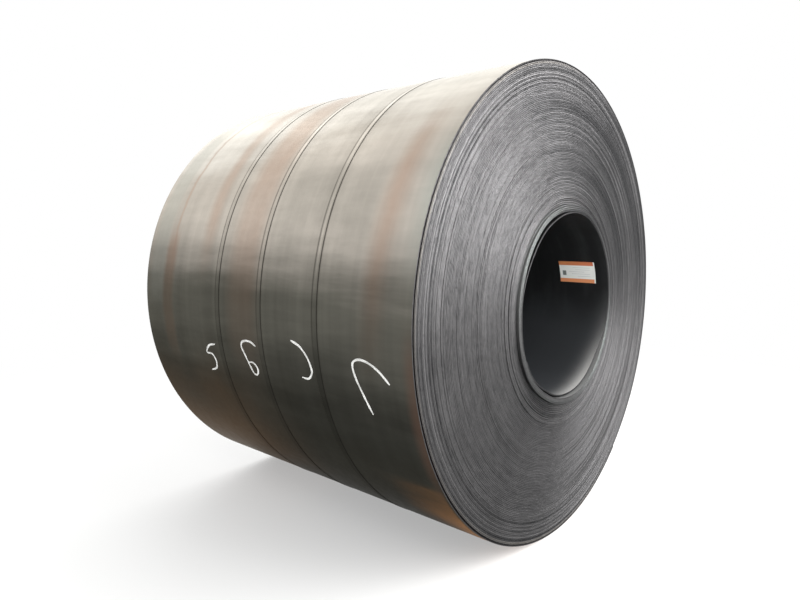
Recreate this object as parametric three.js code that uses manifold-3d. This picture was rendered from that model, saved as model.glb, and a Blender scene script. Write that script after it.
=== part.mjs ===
// A coil of hot-rolled steel strip, lying on its side and held shut by three steel straps round its outside.
// Millimetres, +Z up. The coil's axis runs along Y and its front end faces -Y.
// The origin is on the floor, midway between the two ends' furthest turns.
import * as THREE from "three";
import { mergeVertices } from "three/addons/utils/BufferGeometryUtils.js";
import Module from "manifold-3d";

// The strip
const STRIP_WIDTH = 1600;
const STRIP_THICKNESS = 6;
const WINDING_GAP = 0.03; // air left between two turns

// The coil
const BORE_DIAMETER = 762;
const FACETS = 4 * 18; // flats round the coil, the same in each quarter, with one of them lowest
// Turns were wound in line in groups, listed from the bore outwards. A group stands out of the front end by a
// share of one of these lengths, and lies in by as much at the back end.
const TELESCOPE = 38; // how far the inner turns have slid out
const WANDER = 5; // how far the outer turns stray either way
const INNER_GROUPS = [
  { turns: 2, share: 0.92 },
  { turns: 3, share: 1 },
  { turns: 8, share: 0.66 },
  { turns: 5, share: 0.6 },
  { turns: 24, share: 0.47 },
  { turns: 9, share: 0.32 },
  { turns: 12, share: 0.37 },
  { turns: 5, share: 0.27 },
  { turns: 4, share: 0.18 },
  { turns: 8, share: 0.1 },
];
const OUTER_GROUPS = [
  { turns: 2, share: 1 },
  { turns: 1, share: 0.2 },
  { turns: 1, share: 0.8 },
  { turns: 1, share: -1 },
  { turns: 2, share: 0.6 },
  { turns: 1, share: -0.4 },
  { turns: 2, share: 0.6 },
  { turns: 1, share: -0.6 },
  { turns: 2, share: 0.6 },
  { turns: 2, share: -0.8 },
  { turns: 1, share: 0 },
];

// The strip's two ends. Angles are in degrees, seen from the front, from +X towards +Z.
const TAIL_ANGLE = -52; // where the outermost turn stops
const HEAD_ANGLE = 207.5; // where the innermost turn starts
const LAP_SPREAD = 25; // how far round a turn takes to climb over a strip end
// The innermost turn has come loose along two stretches, and leans into the bore there by so many millimetres.
const LOOSE_STRETCHES = [
  { from: 62.5, to: 177.5, lean: 13.5 },
  { from: 212.5, to: 342.5, lean: 23 },
];
const LOOSE_CURVE = 0.8; // power of a loose stretch's curve
const JOIN_ANGLE = 1; // how far a loose stretch's two ends reach into the turn, in degrees

// The straps, each with its middle's distance from the front end
const FRONT_STRAP = 433;
const MIDDLE_STRAP = 747;
const REAR_STRAP = 1021;
const STRAP_WIDTH = 25.4;
const STRAP_THICKNESS = 0.9;
const STRAP_LAP = 170; // length of strap that lies double under and beside a seal
const SEAT_GAP = 0.3; // air between two pieces that lie on each other

// The seals that join the straps' ends
const SEAL_ANGLE = 35;
const SEAL_LENGTH = 56;
const SEAL_SHEET = 1.3;
const SEAL_SIDE_GAP = 0.5;
const SEAL_CRIMP_RADIUS = 4;
const SEAL_CRIMP_BITE = 1; // how deep a crimp cuts into the seal's side
const SEAL_CRIMP_SPACING = 24;

// The paper label stuck in the bore
const LABEL_LENGTH = 170;
const LABEL_HEIGHT = 102;
const LABEL_THICKNESS = 0.5;
const LABEL_ANGLE = 17.2;
const LABEL_FROM_FRONT_END = 20;

const FACET_ANGLE = (2 * Math.PI) / FACETS;
const TURN_PITCH = STRIP_THICKNESS + WINDING_GAP;
const BORE_RADIUS = BORE_DIAMETER / 2;
const TURN_GROUPS = [
  ...INNER_GROUPS.map(({ turns, share }) => ({ turns, shift: share * TELESCOPE })),
  ...OUTER_GROUPS.map(({ turns, share }) => ({ turns, shift: share * WANDER })),
];
const TURNS = TURN_GROUPS.reduce((sum, group) => sum + group.turns, 0);
const COIL_RADIUS = BORE_RADIUS + TURNS * TURN_PITCH;
const STRAP_INNER_RADIUS = COIL_RADIUS + SEAT_GAP;
const STRAP_OUTER_RADIUS = STRAP_INNER_RADIUS + STRAP_THICKNESS;
const AXIS_HEIGHT = STRAP_OUTER_RADIUS * flatness(FACETS);
const SHIFTS = TURN_GROUPS.map((group) => group.shift);
const MOST_SHIFT = Math.max(...SHIFTS.map(Math.abs));
const MIDDLE_SHIFT = (Math.max(...SHIFTS) + Math.min(...SHIFTS)) / 2;
const CUT_MARGIN = 5; // how far a cutter reaches past what it cuts
const SAME_ANGLE = 1e-3; // two angles this share of half a flat apart count as one

const STEEL = { color: 0x5b5a57, roughness: 0.45, metalness: 1 };
const STRAP_STEEL = { color: 0x4a4a48, roughness: 0.4, metalness: 1 };
const PAPER = { color: 0xe8e6e0, roughness: 0.8, metalness: 0 };

const wasm = await Module();
wasm.setup();

const radians = THREE.MathUtils.degToRad;

/** Distance from the middle of a round of flats to a flat, as a share of the radius at its corners. */
function flatness(facets) {
  return Math.cos(Math.PI / facets);
}

/** A closed three.js geometry as a manifold-3d solid. */
function solidOf(geometry) {
  const bare = geometry.clone();
  bare.deleteAttribute("normal");
  bare.deleteAttribute("uv");
  const merged = mergeVertices(bare, 1e-4);
  return new wasm.Manifold(
    new wasm.Mesh({
      numProp: 3,
      vertProperties: new Float32Array(merged.attributes.position.array),
      triVerts: new Uint32Array(merged.index.array),
    }),
  );
}

/** A manifold-3d solid as a three.js geometry. */
function geometryOf(solid) {
  const mesh = solid.getMesh();
  const geometry = new THREE.BufferGeometry();
  geometry.setAttribute("position", new THREE.BufferAttribute(mesh.vertProperties, 3));
  geometry.setIndex(new THREE.BufferAttribute(mesh.triVerts, 1));
  geometry.computeVertexNormals();
  return geometry;
}

/** A closed [radius, y] outline turned about the Y axis, with a flat lowest. */
function turned(outline) {
  const points = [...outline, outline[0]].map(([radius, y]) => new THREE.Vector2(radius, y));
  return new THREE.LatheGeometry(points, FACETS, FACET_ANGLE / 2);
}

/** A square-edged ring from one radius to another and from one y to another. */
function ring(innerRadius, outerRadius, front, back) {
  return turned([
    [innerRadius, front],
    [outerRadius, front],
    [outerRadius, back],
    [innerRadius, back],
  ]);
}

/** Two angles, with the corners that lie between them and, if asked for, the middles of the flats. */
function anglesBetween(from, to, withMiddles) {
  const step = FACET_ANGLE / 2;
  const first = Math.floor(from / step + SAME_ANGLE) + 1;
  const last = Math.ceil(to / step - SAME_ANGLE) - 1;
  const halves = Array.from({ length: last - first + 1 }, (_, i) => first + i);
  const between = halves.filter((half) => withMiddles || half % 2 !== 0).map((half) => half * step);
  return [from, ...between, to];
}

/**
 * A band bounded by two radii that may change with the angle, from front to back along Y.
 * The angles are in radians, seen from the front, from +X towards +Z.
 */
function band(from, to, innerRadiusAt, outerRadiusAt, front, back, withMiddles = true) {
  const at = (radius, angle) => new THREE.Vector2(radius * Math.cos(angle), radius * Math.sin(angle));
  const angles = anglesBetween(from, to, withMiddles);
  const outer = angles.map((a) => at(outerRadiusAt(a), a));
  const inner = angles.map((a) => at(innerRadiusAt(a), a)).reverse();
  const extruded = new THREE.ExtrudeGeometry(new THREE.Shape([...outer, ...inner]), {
    depth: back - front,
    bevelEnabled: false,
  });
  return extruded.rotateX(Math.PI / 2).translate(0, back, 0);
}

/** Radius of the coil's flat sides at an angle, for a round whose corners are at the given radius. */
function flatRadius(cornerRadius, angle) {
  const fromFlat = Math.abs(angle / FACET_ANGLE - Math.round(angle / FACET_ANGLE)) * FACET_ANGLE;
  return (cornerRadius * flatness(FACETS)) / Math.cos(fromFlat);
}

/** The closed [radius, y] outline of all the turns, stepped at both ends where the groups' shifts differ. */
function turnsOutline() {
  const frontEdge = [];
  const backEdge = [];
  let radius = BORE_RADIUS;
  for (const { turns, shift } of TURN_GROUPS) {
    const next = radius + turns * TURN_PITCH;
    frontEdge.push([radius, -STRIP_WIDTH / 2 - shift], [next, -STRIP_WIDTH / 2 - shift]);
    backEdge.push([radius, STRIP_WIDTH / 2 - shift], [next, STRIP_WIDTH / 2 - shift]);
    radius = next;
  }
  return [...frontEdge, ...backEdge.reverse()];
}

/** What the outermost turn leaves bare past its end: one strip thickness, running out to nothing. */
function tailCut() {
  const from = radians(TAIL_ANGLE);
  const to = radians(TAIL_ANGLE + LAP_SPREAD);
  const depth = (angle) => (STRIP_THICKNESS * (to - angle)) / (to - from);
  return band(
    from,
    to,
    (angle) => flatRadius(COIL_RADIUS, angle) - depth(angle),
    () => COIL_RADIUS + CUT_MARGIN,
    -STRIP_WIDTH / 2 - MOST_SHIFT - CUT_MARGIN,
    STRIP_WIDTH / 2 + MOST_SHIFT + CUT_MARGIN,
  );
}

/** What the innermost turn leaves bare before its start: one turn's room, growing from nothing. */
function headCut() {
  const from = radians(HEAD_ANGLE - LAP_SPREAD);
  const to = radians(HEAD_ANGLE);
  const depth = (angle) => (TURN_PITCH * (angle - from)) / (to - from);
  return band(
    from,
    to,
    () => BORE_RADIUS * flatness(FACETS) - CUT_MARGIN,
    (angle) => flatRadius(BORE_RADIUS, angle) + depth(angle),
    -STRIP_WIDTH / 2 - MOST_SHIFT - CUT_MARGIN,
    STRIP_WIDTH / 2 + MOST_SHIFT + CUT_MARGIN,
  );
}

/** The innermost turn's room along a loose stretch. */
function looseCut({ from, to }) {
  return band(
    radians(from),
    radians(to),
    () => BORE_RADIUS * flatness(FACETS) - CUT_MARGIN,
    (angle) => flatRadius(BORE_RADIUS, angle) + TURN_PITCH,
    -STRIP_WIDTH / 2 - MOST_SHIFT - CUT_MARGIN,
    STRIP_WIDTH / 2 + MOST_SHIFT + CUT_MARGIN,
    false,
  );
}

/** The innermost turn along a loose stretch, where it leans into the bore. Its ends taper inside the turn. */
function looseTurn({ from, to, lean }) {
  const share = (angle) => (angle - radians(from)) / radians(to - from);
  const leanAt = (angle) => lean * Math.max(0, Math.sin(Math.PI * share(angle))) ** LOOSE_CURVE;
  const side = (angle) => flatRadius(BORE_RADIUS, angle) - leanAt(angle);
  const past = (angle) => Math.max(0, radians(from) - angle, angle - radians(to)) / radians(JOIN_ANGLE);
  const taper = (angle) => (past(angle) * TURN_PITCH) / 4;
  const { shift } = TURN_GROUPS[0];
  return band(
    radians(from - JOIN_ANGLE),
    radians(to + JOIN_ANGLE),
    (angle) => side(angle) + taper(angle),
    (angle) => side(angle) + TURN_PITCH - taper(angle),
    -STRIP_WIDTH / 2 - shift,
    STRIP_WIDTH / 2 - shift,
    false,
  );
}

/** The wound strip: all its turns as one solid with its bore, and the strip's own two ends. */
function woundStrip() {
  let made = solidOf(turned(turnsOutline())).subtract(solidOf(tailCut())).subtract(solidOf(headCut()));
  for (const stretch of LOOSE_STRETCHES)
    made = made.subtract(solidOf(looseCut(stretch))).add(solidOf(looseTurn(stretch)));
  return geometryOf(made);
}

/** Angle of the middle of the flat nearest to the seals' angle. */
const SEAL_FLAT_ANGLE = Math.round(radians(SEAL_ANGLE) / FACET_ANGLE) * FACET_ANGLE;

/** A strap: a ring of steel band whose ends lie over each other under the seal. */
function strap() {
  const front = -STRAP_WIDTH / 2;
  const back = STRAP_WIDTH / 2;
  const loop = solidOf(ring(STRAP_INNER_RADIUS, STRAP_OUTER_RADIUS, front, back));
  const halfLap = STRAP_LAP / 2 / STRAP_OUTER_RADIUS;
  const lap = band(
    SEAL_FLAT_ANGLE - halfLap,
    SEAL_FLAT_ANGLE + halfLap,
    (angle) => flatRadius(STRAP_OUTER_RADIUS, angle) - STRAP_THICKNESS / 2,
    (angle) => flatRadius(STRAP_OUTER_RADIUS, angle) + STRAP_THICKNESS,
    front,
    back,
  );
  return geometryOf(loop.add(solidOf(lap)));
}

/** A seal: a folded sheet over the strap's doubled ends, open below, with crimps bitten into its sides. */
function seal() {
  const halfWidth = STRAP_WIDTH / 2 + SEAL_SIDE_GAP + SEAL_SHEET;
  const height = 2 * STRAP_THICKNESS + SEAT_GAP + SEAL_SHEET;
  const block = solidOf(new THREE.BoxGeometry(SEAL_LENGTH, 2 * halfWidth, height).translate(0, 0, height / 2));
  const channelWidth = STRAP_WIDTH + 2 * SEAL_SIDE_GAP;
  const channelHeight = height - SEAL_SHEET + CUT_MARGIN;
  const channel = new THREE.BoxGeometry(SEAL_LENGTH + 2 * CUT_MARGIN, channelWidth, channelHeight);
  channel.translate(0, 0, height - SEAL_SHEET - channelHeight / 2);
  let made = block.subtract(solidOf(channel));
  for (const side of [-1, 1])
    for (const along of [-SEAL_CRIMP_SPACING / 2, SEAL_CRIMP_SPACING / 2]) {
      const crimp = new THREE.CylinderGeometry(SEAL_CRIMP_RADIUS, SEAL_CRIMP_RADIUS, height * 3, 16);
      crimp.rotateX(Math.PI / 2);
      crimp.translate(along, side * (halfWidth + SEAL_CRIMP_RADIUS - SEAL_CRIMP_BITE), 0);
      made = made.subtract(solidOf(crimp));
    }
  return geometryOf(made);
}

/** The label: a sheet of paper bent to the bore's wall. */
function label() {
  const wall = (angle) => flatRadius(BORE_RADIUS, angle) - SEAT_GAP;
  const half = LABEL_HEIGHT / 2 / BORE_RADIUS;
  return band(
    radians(LABEL_ANGLE) - half,
    radians(LABEL_ANGLE) + half,
    (angle) => wall(angle) - LABEL_THICKNESS,
    wall,
    0,
    LABEL_LENGTH,
  );
}

/** A named mesh of one piece. */
function piece(name, geometry, finish) {
  const mesh = new THREE.Mesh(geometry, new THREE.MeshStandardMaterial(finish));
  mesh.name = name;
  return mesh;
}

const coil = new THREE.Group();
coil.position.set(0, MIDDLE_SHIFT, AXIS_HEIGHT);
coil.add(piece("wound_strip", woundStrip(), STEEL));

for (const [name, fromFrontEnd] of Object.entries({ front: FRONT_STRAP, middle: MIDDLE_STRAP, rear: REAR_STRAP })) {
  const y = fromFrontEnd - STRIP_WIDTH / 2;
  const band = piece(`strap_${name}`, strap(), STRAP_STEEL);
  band.position.y = y;
  const clip = piece(`seal_${name}`, seal(), STRAP_STEEL);
  const seat = STRAP_INNER_RADIUS * flatness(FACETS);
  clip.position.set(seat * Math.cos(SEAL_FLAT_ANGLE), y, seat * Math.sin(SEAL_FLAT_ANGLE));
  clip.rotation.y = Math.PI / 2 - SEAL_FLAT_ANGLE;
  coil.add(band, clip);
}

const paper = piece("label", label(), PAPER);
paper.position.y = LABEL_FROM_FRONT_END - STRIP_WIDTH / 2;
coil.add(paper);

const part = new THREE.Group();
part.add(coil);
export default part;
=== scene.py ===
"""Dresses a coil of hot-rolled steel strip: its wound turns, straps, seals, label and chalk marks."""
import logging
import math
import random
from dataclasses import dataclass, replace
from enum import Enum
from typing import Any, Mapping, Optional, Sequence, Union

import bmesh
import bpy
from mathutils import Matrix, Vector


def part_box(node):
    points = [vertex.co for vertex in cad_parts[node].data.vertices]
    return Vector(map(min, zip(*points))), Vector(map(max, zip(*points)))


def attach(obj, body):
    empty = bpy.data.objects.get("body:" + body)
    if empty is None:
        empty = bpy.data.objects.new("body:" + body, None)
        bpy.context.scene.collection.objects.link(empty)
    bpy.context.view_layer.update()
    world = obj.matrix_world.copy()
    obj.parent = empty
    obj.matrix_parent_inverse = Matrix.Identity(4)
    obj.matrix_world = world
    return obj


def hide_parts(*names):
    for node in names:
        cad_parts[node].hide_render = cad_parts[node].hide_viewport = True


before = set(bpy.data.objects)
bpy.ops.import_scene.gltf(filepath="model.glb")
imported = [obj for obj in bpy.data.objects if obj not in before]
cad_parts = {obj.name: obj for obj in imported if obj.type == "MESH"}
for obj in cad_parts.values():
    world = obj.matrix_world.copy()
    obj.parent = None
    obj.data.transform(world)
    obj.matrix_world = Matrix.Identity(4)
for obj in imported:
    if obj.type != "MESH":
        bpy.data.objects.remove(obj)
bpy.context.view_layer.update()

logging.basicConfig(level=logging.INFO, format="%(message)s")
LOG = logging.getLogger("coil")

Colour = tuple[float, float, float]
Settings = Mapping[str, Any]
Inputs = Mapping[Union[int, str], Any]
Operand = Union["Socket", float, Sequence[float]]

BODY = "root"
DEGREES = math.pi / 180
FULL_TURN = 360 * DEGREES

STRIP_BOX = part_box("wound_strip")
AXIS_HEIGHT = (STRIP_BOX[0].z + STRIP_BOX[1].z) / 2
COIL_RADIUS = (STRIP_BOX[1].z - STRIP_BOX[0].z) / 2  # to the middles of the solid's flats
BORE_RADIUS = 0.381
STRIP_WIDTH = 1.6
STRIP_THICKNESS = 0.006
FRONT_RIM = -0.7835  # where the outer turns' front edge lies along Y
MIDDLE_OF_OUTER_TURNS = FRONT_RIM + STRIP_WIDTH / 2
HEAD_ANGLE = 207.5 * DEGREES
TAIL_ANGLE = 308 * DEGREES
TAIL_SHARE = (TAIL_ANGLE - HEAD_ANGLE) / FULL_TURN  # how far beyond the head the tail is, in turns
CLIMB = 25 * DEGREES  # how far round a turn climbs over a strip end
TOUCHING = 1e-6  # radians past the tail that still count as on it
SEAL_ANGLE = 35 * DEGREES
SCALE_TINT: Colour = (0.55, 0.54, 0.515)  # the scale's shine at a glancing angle
WHITE: Colour = (1.0, 1.0, 1.0)


class Slot(Enum):
    """The record's material slots."""

    STRIP = "hot_rolled_strip"
    STRAP = "strap_steel"
    PAPER = "label_paper"


# ---------------------------------------------------------------- node trees


class Socket:
    """One output of a node, which takes part in an expression as a number does."""

    def __init__(self, tree: "NodeTree", output: bpy.types.NodeSocket) -> None:
        """Keeps the tree that the output belongs to."""
        self.tree = tree
        self.output = output

    def __add__(self, other: Operand) -> "Socket":
        """Adds a Math node."""
        return self.tree.math("ADD", self, other)

    def __radd__(self, other: Operand) -> "Socket":
        """Adds a Math node, with the number first."""
        return self.tree.math("ADD", other, self)

    def __sub__(self, other: Operand) -> "Socket":
        """Adds a Math node that subtracts."""
        return self.tree.math("SUBTRACT", self, other)

    def __rsub__(self, other: Operand) -> "Socket":
        """Adds a Math node that subtracts from the number."""
        return self.tree.math("SUBTRACT", other, self)

    def __mul__(self, other: Operand) -> "Socket":
        """Adds a Math node that multiplies."""
        return self.tree.math("MULTIPLY", self, other)

    def __rmul__(self, other: Operand) -> "Socket":
        """Adds a Math node that multiplies, with the number first."""
        return self.tree.math("MULTIPLY", other, self)

    def __truediv__(self, other: Operand) -> "Socket":
        """Adds a Math node that divides."""
        return self.tree.math("DIVIDE", self, other)

    def __pow__(self, other: Operand) -> "Socket":
        """Adds a Math node that raises to a power."""
        return self.tree.math("POWER", self, other)

    def __neg__(self) -> "Socket":
        """Adds a Math node that turns the sign."""
        return self.tree.math("MULTIPLY", self, -1.0)


def found_socket(sockets: Sequence[bpy.types.NodeSocket], key: Union[int, str]) -> bpy.types.NodeSocket:
    """Finds a node's socket.

    Args:
        sockets: the node's inputs or its outputs.
        key: the socket's number, identifier or name.

    Returns:
        The socket, an enabled one where several have the name.
    """
    if isinstance(key, int):
        return sockets[key]
    for match in (
        lambda s: s.identifier == key and s.enabled,
        lambda s: s.name == key and s.enabled,
        lambda s: s.identifier == key,
    ):
        for socket in sockets:
            if match(socket):
                return socket
    raise KeyError(f"no socket {key!r} among {[s.identifier for s in sockets]}")


class NodeTree:
    """A node tree that is written as expressions."""

    def __init__(self, tree: bpy.types.NodeTree) -> None:
        """Keeps Blender's own tree."""
        self.tree = tree

    def node(
        self, kind: str, settings: Optional[Settings] = None, values: Optional[Inputs] = None
    ) -> bpy.types.Node:
        """Adds a node.

        Args:
            kind: the node's type.
            settings: its settings, set before its sockets.
            values: the values or links of its sockets, by number, identifier or name.

        Returns:
            The node.
        """
        made = self.tree.nodes.new(kind)
        for name, value in (settings or {}).items():
            setattr(made, name, value)
        for key, value in (values or {}).items():
            self._feed(found_socket(made.inputs, key), value)
        return made

    def out(
        self,
        kind: str,
        settings: Optional[Settings] = None,
        values: Optional[Inputs] = None,
        output: Union[int, str] = 0,
    ) -> Socket:
        """Adds a node and gives one of its outputs.

        Args:
            kind: the node's type.
            settings: its settings.
            values: the values or links of its sockets.
            output: the output that is wanted.

        Returns:
            The output.
        """
        return Socket(self, found_socket(self.node(kind, settings, values).outputs, output))

    def _feed(self, socket: bpy.types.NodeSocket, value: Any) -> None:
        """Links a socket, or sets its value.

        Args:
            socket: the input.
            value: an output, a number, a colour or a vector.
        """
        if isinstance(value, Socket):
            self.tree.links.new(value.output, socket)
        elif socket.type == "RGBA" and len(value) == 3:
            socket.default_value = (*value, 1.0)
        else:
            socket.default_value = value

    def math(self, operation: str, *operands: Operand, clamped: bool = False) -> Socket:
        """Adds a Math node.

        Args:
            operation: what it does.
            operands: its values.
            clamped: whether the result is kept from 0 to 1.

        Returns:
            The result.
        """
        settings = {"operation": operation, "use_clamp": clamped}
        return self.out("ShaderNodeMath", settings, dict(enumerate(operands)))

    def vector(self, operation: str, *operands: Operand) -> Socket:
        """Adds a Vector Math node.

        Args:
            operation: what it does.
            operands: its vectors.

        Returns:
            The vector, or the number for a length or a dot product.
        """
        wanted = "Value" if operation in ("DOT_PRODUCT", "LENGTH", "DISTANCE") else "Vector"
        return self.out("ShaderNodeVectorMath", {"operation": operation}, dict(enumerate(operands)), wanted)

    def joined(self, x: Operand, y: Operand, z: Operand) -> Socket:
        """Makes a vector of three numbers."""
        return self.out("ShaderNodeCombineXYZ", None, {"X": x, "Y": y, "Z": z})

    def parted(self, vector: Socket) -> tuple[Socket, Socket, Socket]:
        """Gives the three numbers of a vector."""
        made = self.node("ShaderNodeSeparateXYZ", None, {"Vector": vector})
        return tuple(Socket(self, made.outputs[axis]) for axis in "XYZ")

    def step(self, value: Operand, low: float, high: float) -> Socket:
        """Rises smoothly from 0 to 1.

        Args:
            value: what is measured.
            low: where the rise starts.
            high: where it ends.

        Returns:
            The share.
        """
        settings = {"interpolation_type": "SMOOTHSTEP"}
        return self.out("ShaderNodeMapRange", settings, {"Value": value, "From Min": low, "From Max": high}, "Result")

    def band(self, value: Operand, low: float, high: float, soft: float) -> Socket:
        """Is 1 between two values and 0 outside them.

        Args:
            value: what is measured.
            low: the band's lower edge.
            high: its upper edge.
            soft: half the width of each edge.

        Returns:
            The share.
        """
        return self.step(value, low - soft, low + soft) * (1 - self.step(value, high - soft, high + soft))

    def noise(self, vector: Operand, scale: float, detail: float = 2.0, roughness: float = 0.5) -> Socket:
        """Adds noise around a half.

        Args:
            vector: where it is read.
            scale: how fine it is.
            detail: how many finer layers it has.
            roughness: how strong these are.

        Returns:
            The noise, mostly from 0.25 to 0.75.
        """
        values = {"Vector": vector, "Scale": scale, "Detail": detail, "Roughness": roughness}
        return self.out("ShaderNodeTexNoise", None, values, "Fac")

    def mix(self, factor: Operand, first: Operand, second: Operand, blend: str = "MIX") -> Socket:
        """Mixes two colours.

        Args:
            factor: the share of the second.
            first: the first colour.
            second: the second colour.
            blend: how they are blended.

        Returns:
            The colour.
        """
        settings = {"data_type": "RGBA", "blend_type": blend, "clamp_factor": True}
        values = {"Factor_Float": factor, "A_Color": first, "B_Color": second}
        return self.out("ShaderNodeMix", settings, values, "Result_Color")

    def toned(self, colour: Operand, factor: Operand) -> Socket:
        """Makes a colour lighter or darker by a factor."""
        return self.mix(1.0, colour, self.joined(factor, factor, factor), "MULTIPLY")

    def carried(self, name: str) -> Socket:
        """Reads a number that the mesh carries."""
        return self.out("ShaderNodeAttribute", {"attribute_name": name}, None, "Fac")


class ShapeTree(NodeTree):
    """A Geometry Nodes tree with named inputs, which is run once for a plain mesh."""

    KINDS = {float: "NodeSocketFloat", int: "NodeSocketInt", bpy.types.Material: "NodeSocketMaterial"}

    def __init__(self, name: str) -> None:
        """Starts a tree that takes a guide mesh and gives a mesh."""
        super().__init__(bpy.data.node_groups.new(name, "GeometryNodeTree"))
        for way in ("INPUT", "OUTPUT"):
            self.tree.interface.new_socket("Geometry", in_out=way, socket_type="NodeSocketGeometry")
        self.entry = self.tree.nodes.new("NodeGroupInput")
        self.exit = self.tree.nodes.new("NodeGroupOutput")
        self.guide = Socket(self, self.entry.outputs[0])
        self.given: dict[str, Any] = {}

    def carried(self, name: str) -> Socket:
        """Reads a number that the geometry carries."""
        return self.out("GeometryNodeInputNamedAttribute", None, {"Name": name})

    def outward(self) -> Socket:
        """Gives the direction away from the coil's axis at a point."""
        x, _, z = self.parted(self.out("GeometryNodeInputPosition"))
        return self.vector("NORMALIZE", self.joined(x, 0.0, z - AXIS_HEIGHT))

    def swept(self, path: Socket, section: Socket, scale: Operand = 1.0) -> Socket:
        """Sweeps a section along a path.

        Args:
            path: the path.
            section: the closed curve that is swept.
            scale: its scale along the path.

        Returns:
            The mesh, with closed ends.
        """
        values = {"Curve": path, "Profile Curve": section, "Scale": scale, "Fill Caps": True}
        return self.out("GeometryNodeCurveToMesh", None, values)

    def rounded_section(self, across: Socket, along: Socket, corner: Operand, steps: int) -> Socket:
        """Makes the section of a strip with rounded edges.

        Args:
            across: the strip's thickness.
            along: its width.
            corner: the radius of its corners.
            steps: how many flats a corner has.

        Returns:
            The closed curve.
        """
        box = self.out("GeometryNodeCurvePrimitiveQuadrilateral", None, {"Width": across, "Height": along})
        values = {"Curve": box, "Count": steps, "Radius": corner}
        return self.out("GeometryNodeFilletCurve", {"mode": "POLY"}, values)

    def upright(self, mesh: Socket, along: Operand = 0.0) -> Socket:
        """Turns a mesh that is wound round Z on to the coil's axis.

        Args:
            mesh: the mesh.
            along: its place along the coil.

        Returns:
            The mesh in its place.
        """
        place = self.joined(0.0, along, AXIS_HEIGHT)
        values = {"Geometry": mesh, "Translation": place, "Rotation": (math.pi / 2, 0.0, 0.0)}
        return self.out("GeometryNodeTransform", None, values)

    def named(self, name: str, value: Any) -> Socket:
        """Adds a named input.

        Args:
            name: the input's name.
            value: the number or material that the modifier gives it.

        Returns:
            The input, for use in the tree.
        """
        item = self.tree.interface.new_socket(name, in_out="INPUT", socket_type=self.KINDS[type(value)])
        self.given[item.identifier] = value
        return Socket(self, self.entry.outputs[name])

    def finish(self, geometry: Socket, *dressings: tuple[Socket, Optional[Socket]]) -> None:
        """Ends the tree in real meshes with their materials.

        Args:
            geometry: the mesh.
            dressings: a material and the faces that take it, or None for all of them.
        """
        made = self.out("GeometryNodeRealizeInstances", None, {"Geometry": geometry})
        for material, chosen in dressings:
            values = {"Geometry": made, "Material": material}
            if chosen is not None:
                values["Selection"] = chosen
            made = self.out("GeometryNodeSetMaterial", None, values)
        self._feed(self.exit.inputs[0], made)

    def run(self, name: str, guide: bpy.types.Mesh) -> bpy.types.Object:
        """Runs the tree on a guide mesh.

        Args:
            name: the new piece's name.
            guide: the mesh that the tree starts from.

        Returns:
            The piece, a plain mesh at the origin.
        """
        host = bpy.data.objects.new(f"{name}.guide", guide)
        bpy.context.scene.collection.objects.link(host)
        modifier = host.modifiers.new(name, "NODES")
        modifier.node_group = self.tree
        for identifier, value in self.given.items():
            modifier[identifier] = value
        graph = bpy.context.evaluated_depsgraph_get()
        mesh = bpy.data.meshes.new_from_object(
            host.evaluated_get(graph), preserve_all_data_layers=True, depsgraph=graph
        )
        host.modifiers.remove(modifier)
        bpy.data.objects.remove(host)
        mesh.name = name
        return placed(name, mesh)


def placed(name: str, mesh: bpy.types.Mesh) -> bpy.types.Object:
    """Puts a mesh into the scene.

    Args:
        name: the object's name.
        mesh: its mesh, with its place in it.

    Returns:
        The object, at the origin.
    """
    made = bpy.data.objects.new(name, mesh)
    bpy.context.scene.collection.objects.link(made)
    return made


def guide_mesh(
    name: str,
    points: Sequence[Sequence[float]],
    attributes: Optional[Mapping[str, Sequence[float]]] = None,
    chains: Optional[Sequence[Sequence[int]]] = None,
) -> bpy.types.Mesh:
    """Makes the points that a shape tree follows.

    Args:
        name: the mesh's name.
        points: the points.
        attributes: numbers that the points carry, by name.
        chains: the runs of points that edges join.

    Returns:
        The mesh.
    """
    mesh = bpy.data.meshes.new(name)
    edges = [pair for chain in chains or [] for pair in zip(chain, chain[1:])]
    mesh.from_pydata([tuple(p) for p in points], edges, [])
    for key, values in (attributes or {}).items():
        mesh.attributes.new(key, "FLOAT", "POINT").data.foreach_set("value", list(values))
    return mesh


def smoothed(name: str, made: bmesh.types.BMesh, finish: bpy.types.Material, sharp: float) -> bpy.types.Object:
    """Turns a mesh in the making into a smooth piece, and frees it.

    Args:
        name: the piece's name.
        made: its mesh, in its place.
        finish: its finish.
        sharp: the angle beyond which an edge stays sharp.

    Returns:
        The piece.
    """
    mesh = bpy.data.meshes.new(name)
    made.to_mesh(mesh)
    made.free()
    mesh.materials.append(finish)
    mesh.shade_smooth()
    mesh.set_sharp_from_angle(angle=sharp)
    return placed(name, mesh)


def ridden(piece: bpy.types.Object, *nodes: str, slot: Optional[Slot] = None) -> bpy.types.Object:
    """Ties a piece to the frame and reports it.

    Args:
        piece: the piece.
        nodes: the solids that it stands for.
        slot: the record's slot of its finish. It is not used.

    Returns:
        The piece.
    """
    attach(piece, BODY)
    if nodes:
        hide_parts(*nodes)
    faces = sum(len(p.vertices) - 2 for p in piece.data.polygons)
    LOG.info("%s: %d triangles", piece.name, faces)
    return piece


# ---------------------------------------------------------------- finishes


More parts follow.
